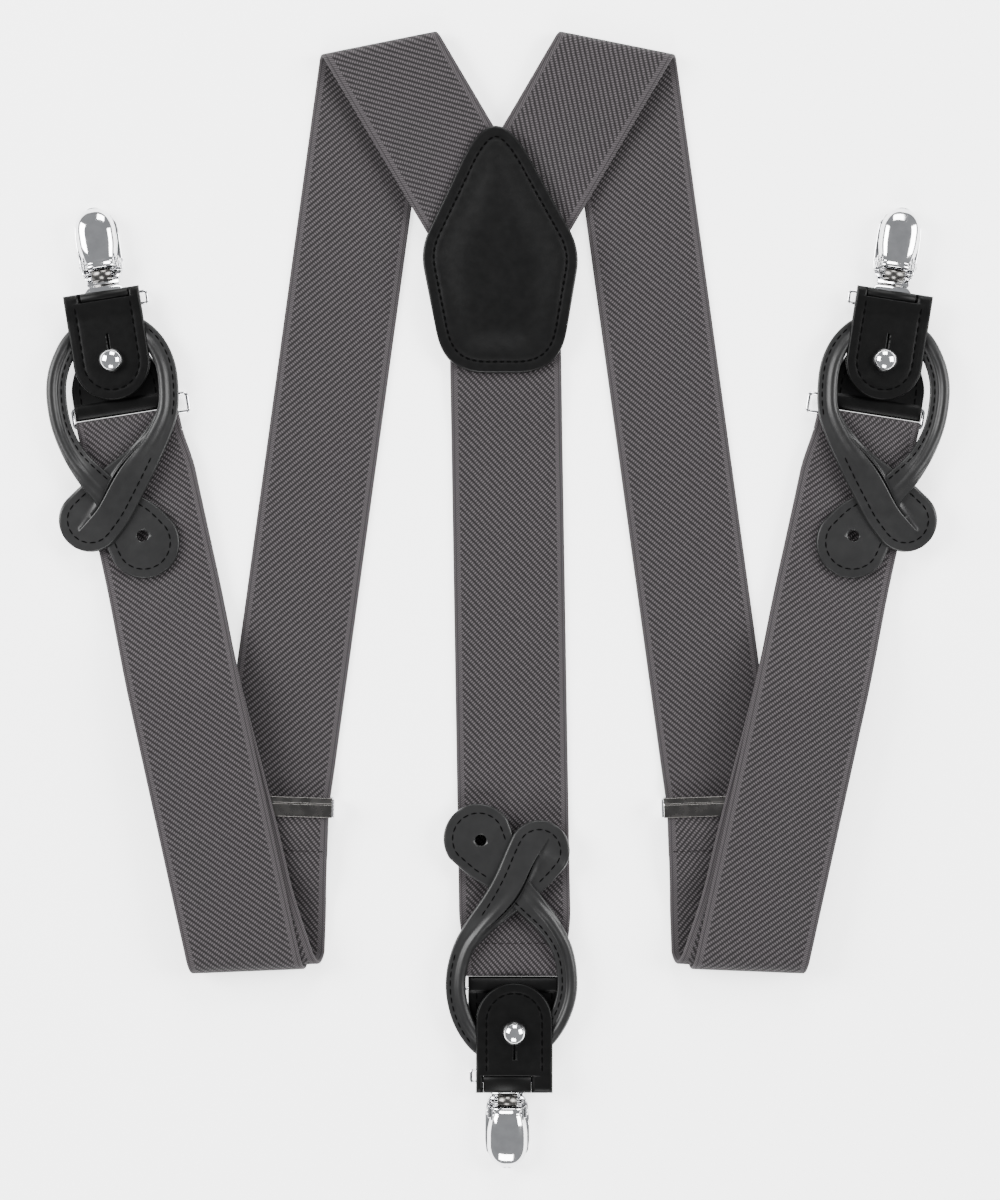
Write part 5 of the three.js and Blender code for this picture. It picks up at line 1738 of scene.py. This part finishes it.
    def clip(self) -> None:
        """The clip: base with cheeks, collar and bar, pin, leaf spring and hinged jaw."""
        lay = self.layout
        move = Matrix.Translation((lay.clip, lay.slack - lay.pull, 0))
        parts = ClipParts()
        base, jaw = f"{lay.side}_clip", f"{lay.side}_jaw"
        self.sleeve(move)
        self.put("clip_shell", parts.base().moved(move), Finish.CHROME, base, ("clip_base",), subdivide=1)
        self.put("clip_cheeks", parts.cheeks().moved(move), Finish.CHROME, base, bevel=0.18)
        self.put("clip_bar", rod(0.8, -9.4, 9.4, END.bar_y, END.bar_z).moved(move), Finish.CHROME, base)
        self.put("clip_rivet", parts.pin().moved(move), Finish.CHROME, base, ("clip_pin",))
        leaf = self.put("clip_leaf", parts.leaf().moved(move), Finish.NICKEL, None, ("clip_spring",))
        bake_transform(leaf)
        self.put("jaw_dome", parts.dome().moved(move), Finish.CHROME, jaw, ("clip_jaw",), subdivide=1)
        self.put("jaw_lugs", parts.lugs().moved(move), Finish.CHROME, jaw, bevel=0.12)


class ClipParts:
    """Shapes of one clip, before it is placed."""

    def base(self) -> Shape:
        """The base: a spoon-shaped lower jaw that narrows to a collar and flares at the tab's fold."""
        bar, pin, tip = END.bar_y, END.pin_y, END.tip
        widths = [(bar - 0.9, 7.0), (bar + 1.2, 6.6), (pin - 7.2, 5.3), (pin - 5.2, 5.2),
                  (pin - 2.6, 6.4), (pin + 0.5, 6.95), (tip - 9, 7.0), (tip - 6, 6.7),
                  (tip - 3.6, 5.5), (tip - 1.6, 3.7), (tip - 0.4, 1.7), (tip, 0.25)]
        spine = [(bar - 0.9, 6.05), (bar, 6.1), (bar + 1.0, 6.1), (bar + 2.4, 5.9),
                 (pin - 6, 4.7), (pin - 4, 3.5), (pin - 2.2, 2.2), (pin + 1, 1.7),
                 (tip - 5, 1.65), (tip - 2, 1.75), (tip, 2.2)]

        def along(table: Sequence[Flat], y: float) -> float:
            """Read a table of (y, value), with its short steps eased."""
            for (y0, a), (y1, b) in zip(table, table[1:]):
                if y <= y1:
                    t = (y - y0) / (y1 - y0)
                    return a + (b - a) * (smooth(t) if y1 - y0 < 3 else t)
            return table[-1][1]

        def place(y: float, c: float) -> SlabPoint:
            """The pressed sheet, a little raised at its rim."""
            half, z = along(widths, y), along(spine, y)
            rim = 0.35 * abs(c) ** 6 * smooth((y - END.pin_y - 2) / 4)
            crown = 0.5 * (1 - c * c) * smooth((y - END.bar_y) / 2) * (1 - smooth((y - END.pin_y + 6) / 4))
            return c * half, y, z + rim + crown + 0.38, z + rim + crown - 0.38

        return slab(spread(END.bar_y - 0.9, END.tip, 70), [k / 8 for k in range(-8, 9)], place)

    def cheeks(self) -> Shape:
        """The two upright cheeks that hold the pin."""
        shape = Shape()
        for s in (-1, 1):
            x0, x1 = sorted((s * END.ear_outer, s * (END.ear_outer - END.sheet)))
            shape.add(block(x0, x1, END.pin_y - 1.9, END.pin_y + 1.9, 1.7, END.pin_z + 1.35))
        return shape

    def pin(self) -> Shape:
        """The pin with two domed heads."""
        reach = END.ear_outer + 0.1
        shape = rod(0.7, -reach, reach, END.pin_y, END.pin_z)
        for s in (-1, 1):
            x0, x1 = sorted((s * reach, s * (reach + 0.25)))
            shape.add(rod(1.15, x0, x1, END.pin_y, END.pin_z, dome=0.3))
        return shape

    def leaf(self) -> Shape:
        """The arched leaf spring."""
        arch = ((-5.4, 5.2), (-4.9, 5.9), (-4.2, 6.5), (-3.4, 6.75), (-2.6, 6.65), (-2.0, 6.2), (-1.75, 5.4))
        path = [(END.pin_y + y, z) for y, z in arch]
        return strip(path, -3, 3, 0.4)

    def dome(self) -> Shape:
        """The mirror-bright jaw: a rolled lip, a crease and a long dome with a round tip."""
        seam, start, end = 2.7, END.pin_y - 1.4, END.tip - 0.4
        places = [0.0, 0.012, 0.03, 0.05, 0.07, 0.085, 0.1, 0.12, 0.15] + spread(0.19, 0.79, 15)
        places += [0.83, 0.87, 0.905, 0.935, 0.96, 0.978, 0.99, 1.0]
        rings: list[list[Point]] = []
        for skin in (0.0, 0.55):
            for t in places if not skin else reversed(places):
                y = start + t * (end - start) + (skin * 0.6 if t < 0.05 else -skin if t > 0.9 else 0)
                bulge = math.sqrt(max(0.0, 1 - max(0.0, (t - 0.6) / 0.4) ** 2.2))
                lip = 0.35 * math.exp(-((t - 0.03) / 0.03) ** 2)
                lip -= 0.28 * math.exp(-((t - 0.1) / 0.022) ** 2)
                wide = (5.2 + 1.15 * smooth(t / 0.45)) * max(bulge, 0.06) + lip - skin
                high = (4.45 + 0.65 * smooth(t / 0.3)) * max(bulge, 0.1) + lip - skin
                row = []
                for a in spread(0, math.pi, 28):
                    c, s = math.cos(a), math.sin(a)
                    x = max(wide, 0.15) * math.copysign(abs(c) ** 0.72, c)
                    row.append((x, y, seam + max(high, 0.15) * max(s, 0.0) ** 0.72))
                rings.append(row)
        return loft(rings, closed_rows=False, caps=False, ring=True)

    def lugs(self) -> Shape:
        """The jaw's two inner lugs on the pin."""
        shape = Shape()
        for s in (-1, 1):
            outer = END.ear_outer - END.sheet - 0.2
            x0, x1 = sorted((s * outer, s * (outer - END.sheet)))
            shape.add(block(x0, x1, END.pin_y - 1.3, END.pin_y + 2.6, END.pin_z - 1.4, END.pin_z + 1.6))
        return shape


# ---------------------------------------------------------------------------------------------
# Studio
# ---------------------------------------------------------------------------------------------
class Studio:
    """A white table, soft lights and a camera that looks straight down."""

    DISTANCE = 0.89
    FRAME_TALL = 0.378
    MIDDLE = (0.00063, 0.0)
    LIGHTS = (
        ("left_light", (-1.1, 0.35, 0.75), 0.8, 45.0),
        ("right_light", (1.15, 0.2, 0.75), 0.8, 37.0),
        ("top_light", (0.1, 1.2, 0.7), 0.7, 25.0),
        ("low_light", (-0.1, -1.2, 0.8), 0.7, 25.0),
    )

    def build(self) -> None:
        """Set the stage."""
        self.table()
        self.world()
        for light in self.LIGHTS:
            self.light(*light)
        self.camera()

    def table(self) -> None:
        """A large white table top."""
        kit = NodeKit("white_table")
        kit.surface.inputs["Base Color"].default_value = (0.93, 0.93, 0.93, 1)
        kit.surface.inputs["Roughness"].default_value = 0.85
        kit.surface.inputs["Emission Color"].default_value = (1, 1, 1, 1)
        kit.surface.inputs["Emission Strength"].default_value = 1.6
        mesh = bpy.data.meshes.new("table_top")
        s = 4.0
        mesh.from_pydata([(-s, -s, 0), (s, -s, 0), (s, s, 0), (-s, s, 0)], [], [(0, 1, 2, 3)])
        mesh.materials.append(kit.material)
        obj = bpy.data.objects.new("table_top", mesh)
        bpy.context.scene.collection.objects.link(obj)

    def world(self) -> None:
        """Even pale surroundings."""
        world = bpy.data.worlds.new("studio_air")
        world.use_nodes = True
        ground = world.node_tree.nodes["Background"]
        ground.inputs[0].default_value = (0.9, 0.92, 0.95, 1)
        ground.inputs[1].default_value = 0.4
        bpy.context.scene.world = world

    def light(self, name: str, at: Point, size: float, power: float) -> None:
        """A soft box that faces the object."""
        data = bpy.data.lights.new(name, "AREA")
        data.shape = "SQUARE"
        data.size = size
        data.energy = power
        obj = bpy.data.objects.new(name, data)
        obj.location = at
        obj.rotation_euler = (-Vector(at)).to_track_quat("-Z", "Y").to_euler()
        bpy.context.scene.collection.objects.link(obj)

    def camera(self) -> None:
        """The camera over the middle of the layout."""
        data = bpy.data.cameras.new("camera")
        data.sensor_fit = "VERTICAL"
        data.sensor_height = 36.0
        data.lens = 36.0 * self.DISTANCE / self.FRAME_TALL
        obj = bpy.data.objects.new("camera", data)
        obj.location = (*self.MIDDLE, self.DISTANCE)
        bpy.context.scene.collection.objects.link(obj)
        bpy.context.scene.camera = obj


# ---------------------------------------------------------------------------------------------
# Assembly
# ---------------------------------------------------------------------------------------------
def turned(point: Sequence[float], degrees: float) -> Matrix:
    """A frame at a point on the table, turned about Z."""
    return Matrix.Translation((point[0], point[1], 0)) @ Matrix.Rotation(math.radians(degrees), 4, "Z")


def main() -> None:
    """Build the suspenders."""
    logging.basicConfig(level=logging.INFO)
    sewing = StitchTree()
    fold = FrontStrapMap()
    mirror = Matrix.Diagonal((-1, 1, 1, 1))
    plain = Matrix.Identity(4)
    straps = Straps(fold, sewing)
    slide_frame = turned(fold.slide_at, fold.SLIDE_TILT)
    for side, flip in (("left", plain), ("right", mirror)):
        straps.front(side, flip)
        straps.back_to_slide(side, flip)
        Adjuster().build(side, flip @ slide_frame)
    straps.back()
    Patch(sewing).build()
    left = turned(fold.RING_POINT, fold.END_TILT)
    ClipEnd(LEFT_END, left, sewing).build()
    ClipEnd(RIGHT_END, mirror @ left, sewing).build()
    ClipEnd(BACK_END, turned(straps.BACK_RING, 180), sewing).build()
    Studio().build()


if __name__ == "__main__":
    main()
